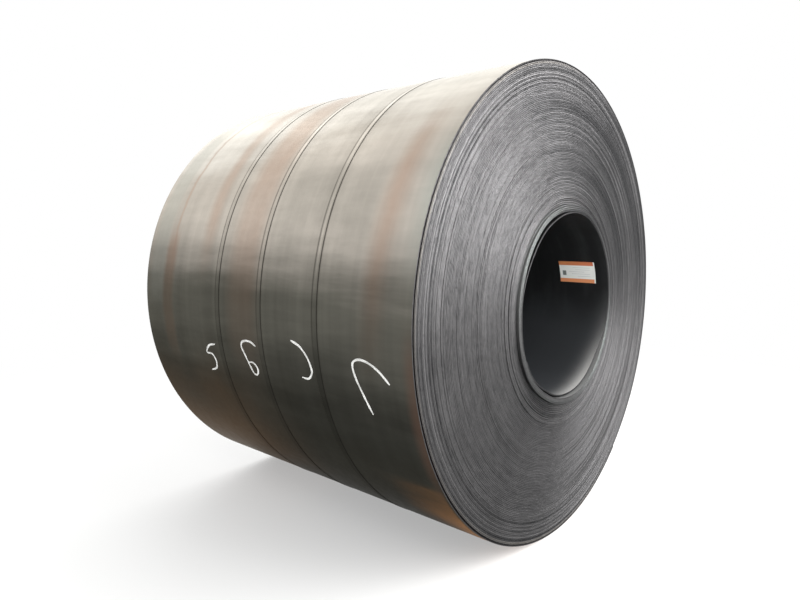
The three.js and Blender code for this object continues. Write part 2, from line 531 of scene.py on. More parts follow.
class Finish:
    """A procedural material, written as expressions on the coil's own measures."""

    name = "finish"

    def made(self) -> bpy.types.Material:
        """Builds the material.

        Returns:
            The material.
        """
        material = bpy.data.materials.new(self.name)
        material.use_nodes = True
        material.node_tree.nodes.clear()
        tree = NodeTree(material.node_tree)
        tree.node("ShaderNodeOutputMaterial", None, {"Surface": self.shader(tree)})
        return material

    def shader(self, tree: NodeTree) -> Socket:
        """Builds the material's nodes."""
        raise NotImplementedError

    @staticmethod
    def surface(
        tree: NodeTree,
        base: Operand,
        roughness: Operand,
        normal: Socket,
        metallic: Operand = 0.0,
        tint: Optional[Colour] = None,
    ) -> Socket:
        """Adds the Principled shader.

        Args:
            tree: the tree.
            base: the colour.
            roughness: the roughness.
            normal: the normal.
            metallic: how metallic it is.
            tint: the colour of its shine at a glancing angle, or None for white.

        Returns:
            The shader.
        """
        values = {"Base Color": base, "Metallic": metallic, "Roughness": roughness, "Normal": normal}
        if tint:
            values["Specular Tint"] = tint
        return tree.out("ShaderNodeBsdfPrincipled", None, values)

    @staticmethod
    def bumped(tree: NodeTree, height: Operand, distance: float, strength: float) -> Socket:
        """Adds a Bump node.

        Args:
            tree: the tree.
            height: the height, from 0 to 1.
            distance: how high 1 is, in metres.
            strength: how strongly it shows.

        Returns:
            The normal.
        """
        values = {"Height": height, "Distance": distance, "Strength": strength}
        return tree.out("ShaderNodeBump", None, values)


@dataclass(frozen=True)
class Patch:
    """A soft-edged patch of the coil, and how strongly it shows.

    The reach is in metres, from the front rim on the flank and from the axis on the ends. The sector is in degrees.
    Both say where the patch starts, where it ends, and half the width of its edges.
    """

    reach: tuple[float, float, float]
    sector: tuple[float, float, float]
    share: float


@dataclass(frozen=True)
class CoilPlace:
    """Where a point of the coil is: the numbers that its finishes follow.

    Along is metres from the front rim, height is metres over the axis, and angle is degrees from +X towards +Z,
    from 0 to 360. Round_x and round_z are the direction away from the axis.
    """

    tree: NodeTree
    position: Socket
    across: Socket
    along: Socket
    height: Socket
    radius: Socket
    angle: Socket
    round_x: Socket
    round_z: Socket

    @classmethod
    def read(cls, tree: NodeTree) -> "CoilPlace":
        """Reads the place from Object coordinates.

        Args:
            tree: the material's tree.

        Returns:
            The place.
        """
        position = tree.out("ShaderNodeTexCoord", None, None, "Object")
        x, y, z = tree.parted(position)
        height = z - AXIS_HEIGHT
        radius = tree.math("SQRT", x * x + height * height)
        angle = tree.math("ARCTAN2", -height, -x) / DEGREES + 180
        return cls(tree, position, x, y - FRONT_RIM, height, radius, angle, x / radius, height / radius)

    def ring(self, low: float, high: float, soft: float) -> Socket:
        """Is 1 between two distances from the axis, in metres."""
        return self.tree.band(self.radius, low, high, soft)

    def sector(self, low: float, high: float, soft: float) -> Socket:
        """Is 1 from one angle round to another, in degrees.

        Args:
            low: where the sector starts.
            high: where it ends, which is past +X where it is the smaller number.
            soft: half the width of each edge.

        Returns:
            The share.
        """
        if low > high:
            return 1 - self.tree.band(self.angle, high, low, soft)
        return self.tree.band(self.angle, low, high, soft)

    def toward(self, degrees: float) -> Socket:
        """Gives how far a point lies towards an angle, from -1 to 1."""
        return self.round_x * math.cos(degrees * DEGREES) + self.round_z * math.sin(degrees * DEGREES)

    def patches(self, measure: Socket, patches: Sequence[Patch]) -> Socket:
        """Adds up patches.

        Args:
            measure: what their reach is measured on.
            patches: the patches.

        Returns:
            The sum of their shares.
        """
        shares = [self.tree.band(measure, *p.reach) * self.sector(*p.sector) * p.share for p in patches]
        return sum(shares[1:], shares[0])


@dataclass(frozen=True)
class ScaleNoise:
    """The noises that the scale's colour, gloss and grain follow."""

    streak: Socket  # drawn out along the coil
    rolled: Socket  # drawn out round the coil
    cloud: Socket
    fine: Socket

    @classmethod
    def read(cls, tree: NodeTree, at: CoilPlace) -> "ScaleNoise":
        """Reads the noises.

        Args:
            tree: the material's tree.
            at: the place on the coil.

        Returns:
            The noises there.
        """
        return cls(
            tree.noise(tree.joined(at.across * 3.0, at.along * 0.45, at.height * 3.0), 3.2, 4.0, 0.6),
            tree.noise(tree.joined(at.across * 0.35, at.along * 9.0, at.height * 0.35), 2.0, 4.0, 0.55),
            tree.noise(at.position, 2.3, 5.0, 0.6),
            tree.noise(at.position, 34.0, 5.0, 0.65),
        )


@dataclass(frozen=True)
class MillScale:
    """The scale round the coil: dust and painted light above, painted shade and charcoal below, with brown bands and a
    rusty front corner.
    """

    charcoal: Colour = (0.032, 0.032, 0.028)
    shade: Colour = (0.105, 0.102, 0.086)
    # paler colours where the scale faces up: dust, and painted light
    dust: Colour = (0.270, 0.248, 0.218)
    thick_dust_and_highlight: Colour = (0.345, 0.330, 0.304)
    pink: Colour = (0.235, 0.165, 0.125)
    brown: Colour = (0.110, 0.079, 0.058)
    green: Colour = (0.245, 0.255, 0.230)
    orange: Colour = (0.380, 0.168, 0.050)
    earth: Colour = (0.060, 0.040, 0.026)
    ochre: Colour = (0.092, 0.048, 0.020)
    stain: Colour = (0.110, 0.062, 0.044)
    shaded_mid_front: tuple[Patch, ...] = (Patch((0.20, 0.72, 0.08), (147.0, 163.0, 6.0), 0.3),)
    front_heat: tuple[Patch, ...] = (Patch((-0.03, 0.045, 0.045), (139.0, 181.0, 12.0), 0.72),)
    front_slant: float = 0.0009  # metres that the band at the front shifts for each degree
    heat: tuple[Patch, ...] = (
        Patch((0.775, 0.940, 0.05), (95.0, 190.0, 14.0), 0.55),
        Patch((1.090, 1.165, 0.035), (90.0, 166.0, 10.0), 0.6),
        Patch((1.370, 1.450, 0.02), (166.0, 192.0, 6.0), 0.6),
    )
    heat_line: tuple[Patch, ...] = (Patch((1.395, 1.412, 0.008), (100.0, 172.0, 8.0), 0.5),)
    bloom: tuple[Patch, ...] = (
        Patch((-0.06, 0.045, 0.035), (144.0, 166.0, 9.0), 0.6),
        Patch((1.455, 1.565, 0.02), (120.0, 176.0, 8.0), 0.35),
    )

    def base(self, tree: NodeTree, at: CoilPlace, noise: ScaleNoise) -> Socket:
        """Mixes the scale's colour.

        Args:
            tree: the material's tree.
            at: the place on the coil.
            noise: the scale's noises there.

        Returns:
            The colour.
        """
        cloud, streak = noise.cloud - 0.5, noise.streak - 0.5
        wandered = replace(at, along=at.along + cloud * 0.05 + streak * 0.03, angle=at.angle + cloud * 22.0)
        # Painted light and shade, with dust: the more a place faces up, the paler it is, from charcoal through shade to
        # dust and thick dust.
        lit = at.round_z + streak * 0.22 + cloud * 0.10 + 0.03 - tree.band(wandered.along, 0.25, 0.72, 0.10) * 0.035
        dust_and_light = tree.step(lit, 0.055, 0.33)
        base = tree.mix(tree.step(lit, -0.42, 0.10), self.charcoal, self.shade)
        base = tree.mix(dust_and_light, base, self.dust)
        # Painted highlight, with thick dust: the palest colour at the very top, more of it towards the rear.
        base = tree.mix(tree.step(lit + (wandered.along - 0.6) * 0.12, 0.60, 0.86), base, self.thick_dust_and_highlight)
        # Painted shade: a darker patch high on the side, in the front half.
        base = tree.mix(wandered.patches(wandered.along, self.shaded_mid_front), base, self.shade)
        # Painted highlight: lighter high on the side near both ends; the rest of the tone varies at random.
        ends = tree.step(wandered.along, 0.95, 1.5) * 0.35 + (1 - tree.step(wandered.along, 0.15, 0.5)) * 0.25
        tone = (noise.rolled - 0.5) * 0.5 + streak * 0.5 + at.sector(118.0, 142.0, 10.0) * ends + 1.0
        base = self._heated(tree, tree.toned(base, tone), at, wandered, noise, dust_and_light)
        return self._lower(tree, base, at, wandered, noise)

    def _heated(
        self, tree: NodeTree, base: Socket, at: CoilPlace, wandered: CoilPlace, noise: ScaleNoise, dust_and_light: Socket
    ) -> Socket:
        """Lays the bands that heat has left round the coil.

        Args:
            tree: the material's tree.
            base: the colour without them.
            at: the place on the coil.
            wandered: the same place, shifted by the noises.
            noise: the scale's noises there.
            dust_and_light: the share of dust and painted light there.

        Returns:
            The colour.
        """
        slanted = wandered.along - at.angle * self.front_slant
        warm = wandered.patches(slanted, self.front_heat) + wandered.patches(wandered.along, self.heat)
        warm = tree.math("MULTIPLY", warm, noise.cloud * 1.3 + 0.25, clamped=True)
        base = tree.mix(warm, base, tree.mix(dust_and_light, self.brown, self.pink))
        shifted = wandered.along + (noise.cloud - 0.5) * 0.02
        base = tree.mix(wandered.patches(shifted, self.heat_line), base, self.pink)
        return tree.mix(wandered.patches(wandered.along, self.bloom), base, self.green)

    def _lower(
        self, tree: NodeTree, base: Socket, at: CoilPlace, wandered: CoilPlace, noise: ScaleNoise
    ) -> Socket:
        """Paints light and shade on what faces down, dirties it brown, rusts its front corner and paints shade along
        the rim low down.

        Args:
            tree: the material's tree.
            base: the colour without it.
            at: the place on the coil.
            wandered: the same place, shifted by the noises.
            noise: the scale's noises there.

        Returns:
            The colour.
        """
        cloud, streak, low = noise.cloud - 0.5, noise.streak - 0.5, -at.round_z
        # Painted light and shade by how far a place faces down, fading out towards the rear.
        deep = tree.step(low, 0.15, 0.28) * -0.2 + tree.step(low, 0.30, 0.42) * 0.3 - tree.step(low, 0.56, 0.72) * 0.3
        base = tree.toned(base, deep * (1 - tree.step(wandered.along, 0.9, 1.3)) + 1.0)
        under = tree.step(low + cloud * 0.5, 0.15, 0.60) * tree.step(wandered.along, 0.55, 1.15) * 0.9
        base = tree.mix(under, base, tree.mix(tree.step(low, 0.45, 0.70), self.earth, self.ochre))
        near_front = 1 - tree.step(wandered.along + cloud * 0.3, 0.05, 0.32)
        corner = near_front * tree.step(low + streak * 0.2, 0.54, 0.80)
        base = tree.mix(corner * 0.95, base, self.orange)
        stained = (1 - tree.step(at.along, 0.010, 0.055)) * wandered.sector(182.0, 214.0, 8.0)
        base = tree.mix(stained * 0.5, base, self.stain)
        # Painted shade: a dark line along the front rim, low down.
        rim_line = (1 - tree.step(at.along, 0.008, 0.018)) * at.sector(213.0, 240.0, 6.0)
        base = tree.mix(rim_line * 0.75, base, self.charcoal)
        unlit = tree.step(low, 0.67, 0.82) * tree.band(wandered.along, 0.09, 1.0, 0.10)
        return tree.toned(base, 1 - unlit * 0.85)


@dataclass(frozen=True)
class Flank(Finish):
    """Mill scale on the outermost turn, with painted shadow and dirt along the straps' sides."""

    name: str = "mill_scale_flank"
    scale: MillScale = MillScale()
    strap_shadow_and_grime: Colour = (0.024, 0.020, 0.016)
    strap_shadow_edge: tuple[float, float] = (0.0135, 0.0200)  # metres from a strap's middle line, over which it fades
    tint: Colour = SCALE_TINT

    def shader(self, tree: NodeTree) -> Socket:
        """Builds the nodes of the flank.

        Args:
            tree: the material's tree.

        Returns:
            The shader.
        """
        at = CoilPlace.read(tree)
        noise = ScaleNoise.read(tree, at)
        base = self.scale.base(tree, at, noise)
        # Painted shadow of the straps, with dirt, on the flank beside them, stronger on the upper side.
        upper = tree.step(at.round_z, -0.35, 0.05) * 0.6 + 0.4
        darkened = 1 - tree.step(Strap.distance(tree, at.along), *self.strap_shadow_edge)
        base = tree.mix(darkened * upper * 0.45, base, self.strap_shadow_and_grime)
        roughness = 0.39 + (noise.fine - 0.5) * 0.16 + (noise.rolled - 0.5) * 0.06
        normal = self.bumped(tree, noise.fine * 0.6 + noise.streak * 0.4, 0.0006, 0.12)
        return self.surface(tree, base, roughness, normal, 1.0, self.tint)


@dataclass(frozen=True)
class EdgeNoise:
    """The noises that the strip's edges follow."""

    own: Socket  # one value for each turn
    dashes: Socket  # drawn out along each turn
    broad: Socket
    fine: Socket
    rings: Socket  # drawn out round the coil, over several turns

    @classmethod
    def read(cls, tree: NodeTree, at: CoilPlace, turn: Socket) -> "EdgeNoise":
        """Reads the noises.

        Args:
            tree: the material's tree.
            at: the place on the coil.
            turn: the turn's number, from the strip's head.

        Returns:
            The noises there.
        """
        whole = tree.math("FLOOR", turn)
        along_turn = tree.joined(at.round_x * 11.0, at.round_z * 11.0, whole * 0.45)
        over_turns = tree.joined(at.radius * 52.0, at.round_x * 0.5, at.round_z * 0.5)
        return cls(
            tree.out("ShaderNodeTexWhiteNoise", {"noise_dimensions": "1D"}, {"W": whole}, "Value"),
            tree.noise(along_turn, 1.0, 3.0, 0.6),
            tree.noise(at.position, 3.0, 4.0, 0.55),
            tree.noise(at.position, 120.0, 3.0, 0.6),
            tree.noise(over_turns, 1.0, 3.0, 0.6),
        )


@dataclass(frozen=True)
class StripEdge(Finish):
    """The strip's rolled edge, as the coil's two ends show it turn by turn."""

    name: str = "strip_edge"
    dark: Colour = (0.034, 0.034, 0.035)
    light: Colour = (0.170, 0.166, 0.168)
    mouth: Colour = (0.130, 0.141, 0.136)
    # painted light for the shaded outer side of the proud ring round the bore
    scuffed: Colour = (0.290, 0.295, 0.290)
    rusty: Colour = (0.190, 0.176, 0.158)
    # painted shade in the gap under the outermost turn
    gap_shade: Colour = (0.005, 0.004, 0.004)
    tint: Colour = (0.3, 0.3, 0.3)
    # degrees towards which the ends take painted shade, at the upper right
    shade_angle: float = 38.0
    # degrees towards which the ends are darker, at the bottom
    low_angle: float = 262.0
    # Rings painted lighter or darker, as light on turns that stand out and shade on ones that lie in: radius and half
    # width in metres, and how much lighter each is.
    rings: tuple[tuple[float, float, float], ...] = (
        (0.936, 0.002, -0.20), (0.928, 0.003, 0.20), (0.918, 0.003, -0.20), (0.909, 0.003, 0.22), (0.902, 0.002, -0.28),
        (0.895, 0.003, 0.26), (0.887, 0.002, -0.25), (0.880, 0.003, 0.20), (0.872, 0.003, -0.36), (0.864, 0.003, 0.22),
    )
    # Two more painted rings of light and shade, that show low down only.
    low_rings: tuple[Patch, ...] = (
        Patch((0.918, 0.925, 0.002), (236.0, 300.0, 14.0), 0.25),
        Patch((0.928, 0.937, 0.002), (236.0, 300.0, 14.0), -0.25),
    )
    # Painted light and shade on the turns round the bore's mouth: how much lighter or darker they are.
    mouth_turns: tuple[Patch, ...] = (
        Patch((0.390, 0.403, 0.003), (344.0, 62.0, 14.0), 0.22),
        Patch((0.404, 0.418, 0.003), (62.0, 98.0, 10.0), 0.30),
        Patch((0.408, 0.438, 0.006), (344.0, 62.0, 14.0), -0.20),
        Patch((0.300, 0.386, 0.003), (16.0, 64.0, 10.0), -0.30),
        Patch((0.424, 0.450, 0.005), (62.0, 98.0, 10.0), -0.20),
        Patch((0.402, 0.412, 0.003), (300.0, 352.0, 12.0), -0.20),
    )

    def shader(self, tree: NodeTree) -> Socket:
        """Builds the nodes of the ends.

        Args:
            tree: the material's tree.

        Returns:
            The shader.
        """
        at = CoilPlace.read(tree)
        turn = tree.carried("turn")
        noise = EdgeNoise.read(tree, at, turn)
        tone = tree.math("MULTIPLY", self._tone(tree, at, noise), 1.0, clamped=True)
        base = tree.mix(tone, self.dark, self.light)
        base = self._bore_side(tree, base, at, noise, turn)
        base = self._painted_shading(tree, base, at, noise)
        base = self._outer_side(tree, base, at)
        striae = tree.noise(tree.joined(at.radius, at.round_x * 0.05, at.round_z * 0.05), 800.0, 2.0, 0.5)
        striae = striae * (1 - at.sector(262.0, 338.0, 30.0) * 0.9)
        roughness = 0.42 + (noise.broad - 0.5) * 0.2
        return self.surface(tree, base, roughness, self.bumped(tree, striae, 0.0015, 1.0), 0.85, self.tint)

    def _tone(self, tree: NodeTree, at: CoilPlace, noise: EdgeNoise) -> Socket:
        """Finds how light each turn is, with its rings, some of them painted light and shade, and its dashes.

        Args:
            tree: the material's tree.
            at: the place on the coil.
            noise: the edges' noises there.

        Returns:
            The tone, mostly from 0 to 1.
        """
        bold = tree.step(at.radius, 0.80, 0.90) + 1 - tree.step(at.radius, 0.46, 0.53)
        upper = at.sector(36.0, 106.0, 14.0)
        ringed = (noise.rings - 0.5) * (bold * 0.9 + upper * 0.9 + 0.35)
        ringed = ringed + (noise.own - 0.5) * (bold * 0.25 + upper * 0.3 + 0.1)
        drift = at.radius + (tree.noise(tree.joined(at.round_x, at.round_z, 0.0), 1.3, 2.0, 0.5) - 0.5) * 0.006
        for radius, half, lighter in self.rings:
            ringed = ringed + tree.band(drift, radius - half, radius + half, half * 0.6) * lighter
        ringed = ringed + at.patches(drift, self.low_rings)
        crisp = at.sector(104.0, 128.0, 18.0) * 0.6 + at.sector(145.0, 240.0, 20.0) * 0.32 + 0.72
        crisp = crisp - at.sector(280.0, 345.0, 25.0) * 0.45
        crisp = crisp * (1 - tree.step(at.radius, 0.84, 0.90) * 0.35)
        return ringed + (noise.dashes - 0.5) * crisp + (noise.broad - 0.5) * 0.4 + (noise.fine - 0.5) * 0.25 + 0.5

    def _bore_side(
        self, tree: NodeTree, base: Socket, at: CoilPlace, noise: EdgeNoise, turn: Socket
    ) -> Socket:
        """Cuts the dashes, and paints rub marks, highlights, light and shade on the turns round the bore.

        Args:
            tree: the material's tree.
            base: the colour without it.
            at: the place on the coil.
            noise: the edges' noises there.
            turn: the turn's number, from the strip's head.

        Returns:
            The colour.
        """
        cut = tree.step(noise.dashes, 0.60, 0.68) * at.sector(95.0, 215.0, 30.0)
        base = tree.mix(cut * 0.5, base, self.dark)
        # Painted highlights on the ring round the bore, in the two opposite sectors where the ends catch the light,
        # over a paler tone with rub marks.
        rub_and_highlight = at.sector(112.0, 168.0, 20.0) * 0.45 + at.sector(303.0, 350.0, 12.0) * 0.55 + 0.3
        base = tree.mix(at.ring(0.384, 0.408, 0.004) * rub_and_highlight, base, self.mouth)
        # Painted light on the turns round the bore at the upper right.
        painted_light_near_bore = at.ring(0.388, 0.428, 0.010) * at.sector(5.0, 98.0, 20.0) * 0.4
        base = tree.mix(painted_light_near_bore, base, self.light)
        # Painted light on the shaded outer side of the proud ring round the bore, most on the upper left.
        side = tree.step(at.along - tree.carried("front"), 0.0005, 0.0020) * at.ring(0.4020, 0.4122, 0.0004)
        base = tree.mix(side * (at.sector(98.0, 176.0, 12.0) * 0.75 + 0.2), base, self.scuffed)
        # Painted shade on the innermost turn's edge.
        base = tree.mix((1 - tree.step(turn, 0.97, 1.0)) * 0.75, base, self.dark)
        base = tree.mix((1 - tree.step(at.radius, 0.40, 0.64)) * 0.16, base, self.dark)
        shadowed = at.ring(0.404, 0.434, 0.012) * at.sector(192.0, 252.0, 14.0)
        return tree.mix(shadowed * 0.6, base, self.dark)

    def _painted_shading(self, tree: NodeTree, base: Socket, at: CoilPlace, noise: EdgeNoise) -> Socket:
        """Paints shade on the ends where less light falls, darkens them towards the bottom, and paints shade on the
        turns that lie deeper and light and shade on those round the bore's mouth.

        Args:
            tree: the material's tree.
            base: the colour without it.
            at: the place on the coil.
            noise: the edges' noises there.

        Returns:
            The colour.
        """
        # Painted shade in the sectors of the ends where less light falls.
        sector_shade = (at.sector(198.0, 236.0, 14.0) + at.sector(300.0, 335.0, 12.0) * 0.6) * 0.10
        sector_shade = sector_shade + at.sector(180.0, 216.0, 10.0) * tree.step(at.radius, 0.80, 0.87) * 0.10
        # Painted shade towards the upper right, broken up by rings; and darker towards the bottom.
        upper_right_shade = 0.7 - (noise.rings - 0.5) * 2.2 - (noise.own - 0.5) * 0.4
        upper_right_shade = tree.step(at.toward(self.shade_angle), 0.45, 1.0) * upper_right_shade
        darkened = tree.step(at.toward(self.low_angle), 0.3, 0.9) * 0.32
        base = tree.mix(upper_right_shade + darkened + sector_shade, base, self.dark)
        # Painted shade on turns that lie deeper than the rest, low on the left and outermost on the right.
        left_pack = at.ring(0.8785, 0.8845, 0.0015) * at.sector(166.0, 240.0, 10.0) * 0.45
        right_turns = tree.step(at.radius, 0.924, 0.938) * at.sector(324.0, 64.0, 14.0) * 0.5
        base = tree.mix(left_pack + right_turns, base, self.dark)
        # Painted light and shade on the turns round the bore's mouth.
        return tree.toned(base, at.patches(at.radius, self.mouth_turns) + 1.0)

    def _outer_side(self, tree: NodeTree, base: Socket, at: CoilPlace) -> Socket:
        """Rusts the last turns, and paints shade into the gap under the outermost one.

        Args:
            tree: the material's tree.
            base: the colour without it.
            at: the place on the coil.

        Returns:
            The colour.
        """
        left = at.sector(88.0, 300.0, 16.0)
        rust = left * (1 - at.sector(178.0, 244.0, 12.0) * 0.5)
        base = tree.mix(at.ring(0.9425, 0.9495, 0.001) * rust * 0.5, base, self.rusty)
        # Painted shade in the gap under the outermost turn, lighter at the top and bottom.
        open_turn = at.sector(144.0, 240.0, 14.0) * 0.4 + (1 - left) * 0.3 + 0.6
        return tree.mix(at.ring(0.9500, 0.9572, 0.0008) * open_turn, base, self.gap_shade)


@dataclass(frozen=True)
class BoreWall(Finish):
    """The innermost turn's inner side: dark, oiled-looking scale, with painted light underfoot and a painted glow, with
    dust, at its lowest front corner.
    """

    name: str = "bore_scale"
    dark: Colour = (0.030, 0.031, 0.032)
    worn: Colour = (0.085, 0.087, 0.090)
    # painted light on the wall's lower side
    low: Colour = (0.076, 0.081, 0.088)
    # a painted glow of light in the bore's mouth, with dust
    dust_and_light: Colour = (0.430, 0.425, 0.412)
    tint: Colour = (0.5, 0.5, 0.5)
    glow_angle: float = 294.0

    def shader(self, tree: NodeTree) -> Socket:
        """Builds the nodes of the bore.

        Args:
            tree: the material's tree.

        Returns:
            The shader.
        """
        at = CoilPlace.read(tree)
        rolled = tree.noise(tree.joined(at.across * 0.6, at.along * 7.0, at.height * 0.6), 2.4, 4.0, 0.55)
        cloud = tree.noise(at.position, 5.0, 4.0, 0.6)
        fine = tree.noise(at.position, 60.0, 4.0, 0.6)
        worn = tree.step(rolled * 0.6 + cloud * 0.4, 0.45, 0.75)
        base = tree.mix(worn * 0.5, self.dark, self.worn)
        # Painted light: the wall's lower side, which faces up, is paler, as light falls in from above.
        lower = tree.step(-at.round_z + (cloud - 0.5) * 0.3, -0.15, 0.45)
        base = tree.mix(lower * 0.9, base, self.low)
        # Painted light: a glow low on the right of the bore's mouth, fading into the bore, with dust.
        mouth = self._mouth_glow(tree, at, cloud)
        base = tree.mix(mouth, base, self.dust_and_light)
        normal = self.bumped(tree, fine, 0.0005, 0.12)
        return self.surface(tree, base, 0.46 + (fine - 0.5) * 0.2, normal, 0.7 - mouth * 0.6, self.tint)

    def _mouth_glow(self, tree: NodeTree, at: CoilPlace, cloud: Socket) -> Socket:
        """Finds the painted glow of light, with dust, that lies in the bore's mouth and fades into the bore.

        Args:
            tree: the material's tree.
            at: the place on the coil.
            cloud: broad noise.

        Returns:
            The share of painted glow and dust.
        """
        toward = tree.math("MAXIMUM", at.toward(self.glow_angle), 0.0)
        depth = tree.math("MAXIMUM", at.along - tree.carried("front"), 0.0)
        faded = (depth / (toward ** 8.0 * 0.011 + 0.036)) ** 1.6
        most = 1 - tree.step(tree.carried("turn"), 0.98, 1.0) * 0.45
        mouth = tree.math("EXPONENT", -faded * (cloud * 0.6 + 0.7)) * tree.math("MINIMUM", toward ** 2.8, most)
        return tree.math("MULTIPLY", mouth, 1.0, clamped=True)


@dataclass(frozen=True)
class StrapSteel(Finish):
    """Strapping with the coil's own dust and painted light on it, a painted highlight and rub marks along its middle,
    and painted shade and dirt at its edges.
    """

    name: str = "strap_scale"
    scale: MillScale = MillScale()
    # painted shade and dirt along the strap's edges
    edge_shade_and_dirt: Colour = (0.016, 0.015, 0.013)
    tint: Colour = SCALE_TINT

    def shader(self, tree: NodeTree) -> Socket:
        """Builds the nodes of the straps.

        Args:
            tree: the material's tree.

        Returns:
            The shader.
        """
        at = CoilPlace.read(tree)
        noise = ScaleNoise.read(tree, at)
        off = Strap.distance(tree, at.along)
        fine = tree.noise(tree.joined(at.across, at.along * 40.0, at.height), 9.0, 4.0, 0.6)
        base = self.scale.base(tree, at, noise)
        # Painted highlight along the strap's middle on its upper side, in patches, with rub marks; the upper side is
        # painted lighter again.
        rub_and_highlight = (1 - tree.step(off + (fine - 0.5) * 0.006, 0.0020, 0.0070)) * tree.step(at.round_z, 0.0, 0.3)
        upper = tree.step(at.round_z, -0.15, 0.20)
        gain = rub_and_highlight * tree.step(noise.cloud, 0.42, 0.62) * 0.3 + upper * 0.10 + 0.82
        base = tree.toned(base, gain + tree.step(at.round_z, 0.42, 0.72) * 0.20)
        # Painted shade and dirt along the strap's edges, stronger on its upper side.
        base = tree.mix(tree.step(off + (fine - 0.5) * 0.004, 0.0080, 0.0120) * (upper * 0.4 + 0.35), base, self.edge_shade_and_dirt)
        normal = self.bumped(tree, fine, 0.0003, 0.15)
        return self.surface(tree, base, 0.42 + (fine - 0.5) * 0.2, normal, 1.0, self.tint)


@dataclass(frozen=True)
class SealSteel(Finish):
    """Bare pressed sheet, scuffed, with rust where it is crimped."""

    name: str = "seal_sheet"
    sheet: Colour = (0.16, 0.155, 0.15)
    scuffed: Colour = (0.25, 0.245, 0.235)
    rust: Colour = (0.14, 0.06, 0.025)

    def shader(self, tree: NodeTree) -> Socket:
        """Builds the nodes of the seals.

        Args:
            tree: the material's tree.

        Returns:
            The shader.
        """
        position = tree.out("ShaderNodeTexCoord", None, None, "Object")
        broad = tree.noise(position, 60.0, 4.0, 0.6)
        fine = tree.noise(position, 420.0, 3.0, 0.6)
        base = tree.mix(tree.step(broad, 0.40, 0.62), self.sheet, self.scuffed)
        base = tree.mix(tree.step(fine * 0.4 + broad * 0.6, 0.56, 0.66) * 0.6, base, self.rust)
        return self.surface(tree, base, 0.40 + (broad - 0.5) * 0.3, self.bumped(tree, fine, 0.0002, 0.2), 1.0)


@dataclass(frozen=True)
class LabelPaper(Finish):
    """Printed paper: two coloured bands, ruled lines and a small dark square."""

    name: str = "label_print"
    paper: Colour = (0.93, 0.95, 0.92)
    band: Colour = (0.68, 0.20, 0.09)
    faded_band: Colour = (0.66, 0.24, 0.09)
    low_band: Colour = (0.87, 0.33, 0.14)
    ink: Colour = (0.10, 0.12, 0.11)
    rule: Colour = (0.42, 0.45, 0.46)
    fibres: Colour = (0.55, 0.52, 0.47)
    rule_half: float = 0.010  # half a ruled line's height
    rule_soft: float = 0.004
    # Ruled lines: how far up each one is, where it starts and where it ends, in shares of the label.
    rules: tuple[tuple[float, float, float], ...] = (
        (0.70, 0.14, 0.62), (0.60, 0.14, 0.55), (0.50, 0.30, 0.74), (0.40, 0.14, 0.66), (0.29, 0.14, 0.50),
    )

    def shader(self, tree: NodeTree) -> Socket:
        """Builds the nodes of the label: U runs into the bore and V runs up.

        Args:
            tree: the material's tree.

        Returns:
            The shader.
        """
        u, v, _ = tree.parted(tree.out("ShaderNodeUVMap", {"uv_map": Label.PRINT}))
        fibre = tree.noise(tree.joined(u * 1.7, v, 0.0), 60.0, 4.0, 0.6)
        inside = 1 - tree.step(u, 0.935, 0.945)
        top, bottom = tree.step(v, 0.80, 0.815), 1 - tree.step(v, 0.165, 0.18)
        blotch = tree.noise(tree.joined(u * 2.2, v * 2.5, 0.0), 3.0, 3.0, 0.6)
        warm = tree.mix(tree.step(u + (blotch - 0.5) * 0.6, 0.1, 0.9), self.band, self.faded_band)
        printed = tree.mix(bottom, warm, self.low_band)
        base = tree.mix((top + bottom) * tree.step(u, 0.028, 0.040), self.paper, printed)
        base = tree.mix(self._ruled(tree, u, v) * 0.5, base, self.rule)
        block = tree.band(u, 0.82, 0.92, 0.012) * tree.band(v, 0.32, 0.54, 0.016)
        base = tree.mix(block * inside * 0.9, base, self.ink)
        base = tree.mix((fibre - 0.5) * 0.3, base, self.fibres)
        return self.surface(tree, base, 0.55 + (fibre - 0.5) * 0.2, self.bumped(tree, fibre, 0.0002, 0.2))

    def _ruled(self, tree: NodeTree, u: Socket, v: Socket) -> Socket:
        """Draws the ruled lines.

        Args:
            tree: the material's tree.
            u: the share of the way into the bore.
            v: the share of the way up.

        Returns:
            The share of ink.
        """
        lines = [
            tree.band(v, place - self.rule_half, place + self.rule_half, self.rule_soft)
            * tree.band(u, start, end, self.rule_soft)
            for place, start, end in self.rules
        ]
        return sum(lines[1:], lines[0])


@dataclass(frozen=True)
class Chalk(Finish):
    """Dry white marker, thin where the hand was quick."""

    name: str = "chalk_white"
    white: Colour = (0.92, 0.92, 0.90)
    faded: Colour = (0.68, 0.68, 0.66)

    def shader(self, tree: NodeTree) -> Socket:
        """Builds the nodes of the chalk.

        Args:
            tree: the material's tree.

        Returns:
            The shader.
        """
        position = tree.out("ShaderNodeTexCoord", None, None, "Object")
        grain = tree.noise(position, 260.0, 4.0, 0.7)
        broad = tree.noise(position, 22.0, 3.0, 0.5)
        base = tree.mix(tree.step(broad + (grain - 0.5) * 0.5, 0.42, 0.62), self.white, self.faded)
        return self.surface(tree, base, 0.85 + (grain - 0.5) * 0.2, self.bumped(tree, grain, 0.0003, 0.4))


# ---------------------------------------------------------------- the strip


@dataclass(frozen=True)
class LooseStretch:
    """A stretch where the innermost turns have come loose, and lean into the bore or slide back.

    Angles are in degrees. The turns leave their place over the rise and are back in it after the fall. The last
    ones of them, as many as are eased, leave it less and less.
    """

    rise: tuple[float, float]
    fall: tuple[float, float]
    turns: int
    eased: int = 1
    lean: float = 0.0
    slide: float = 0.0


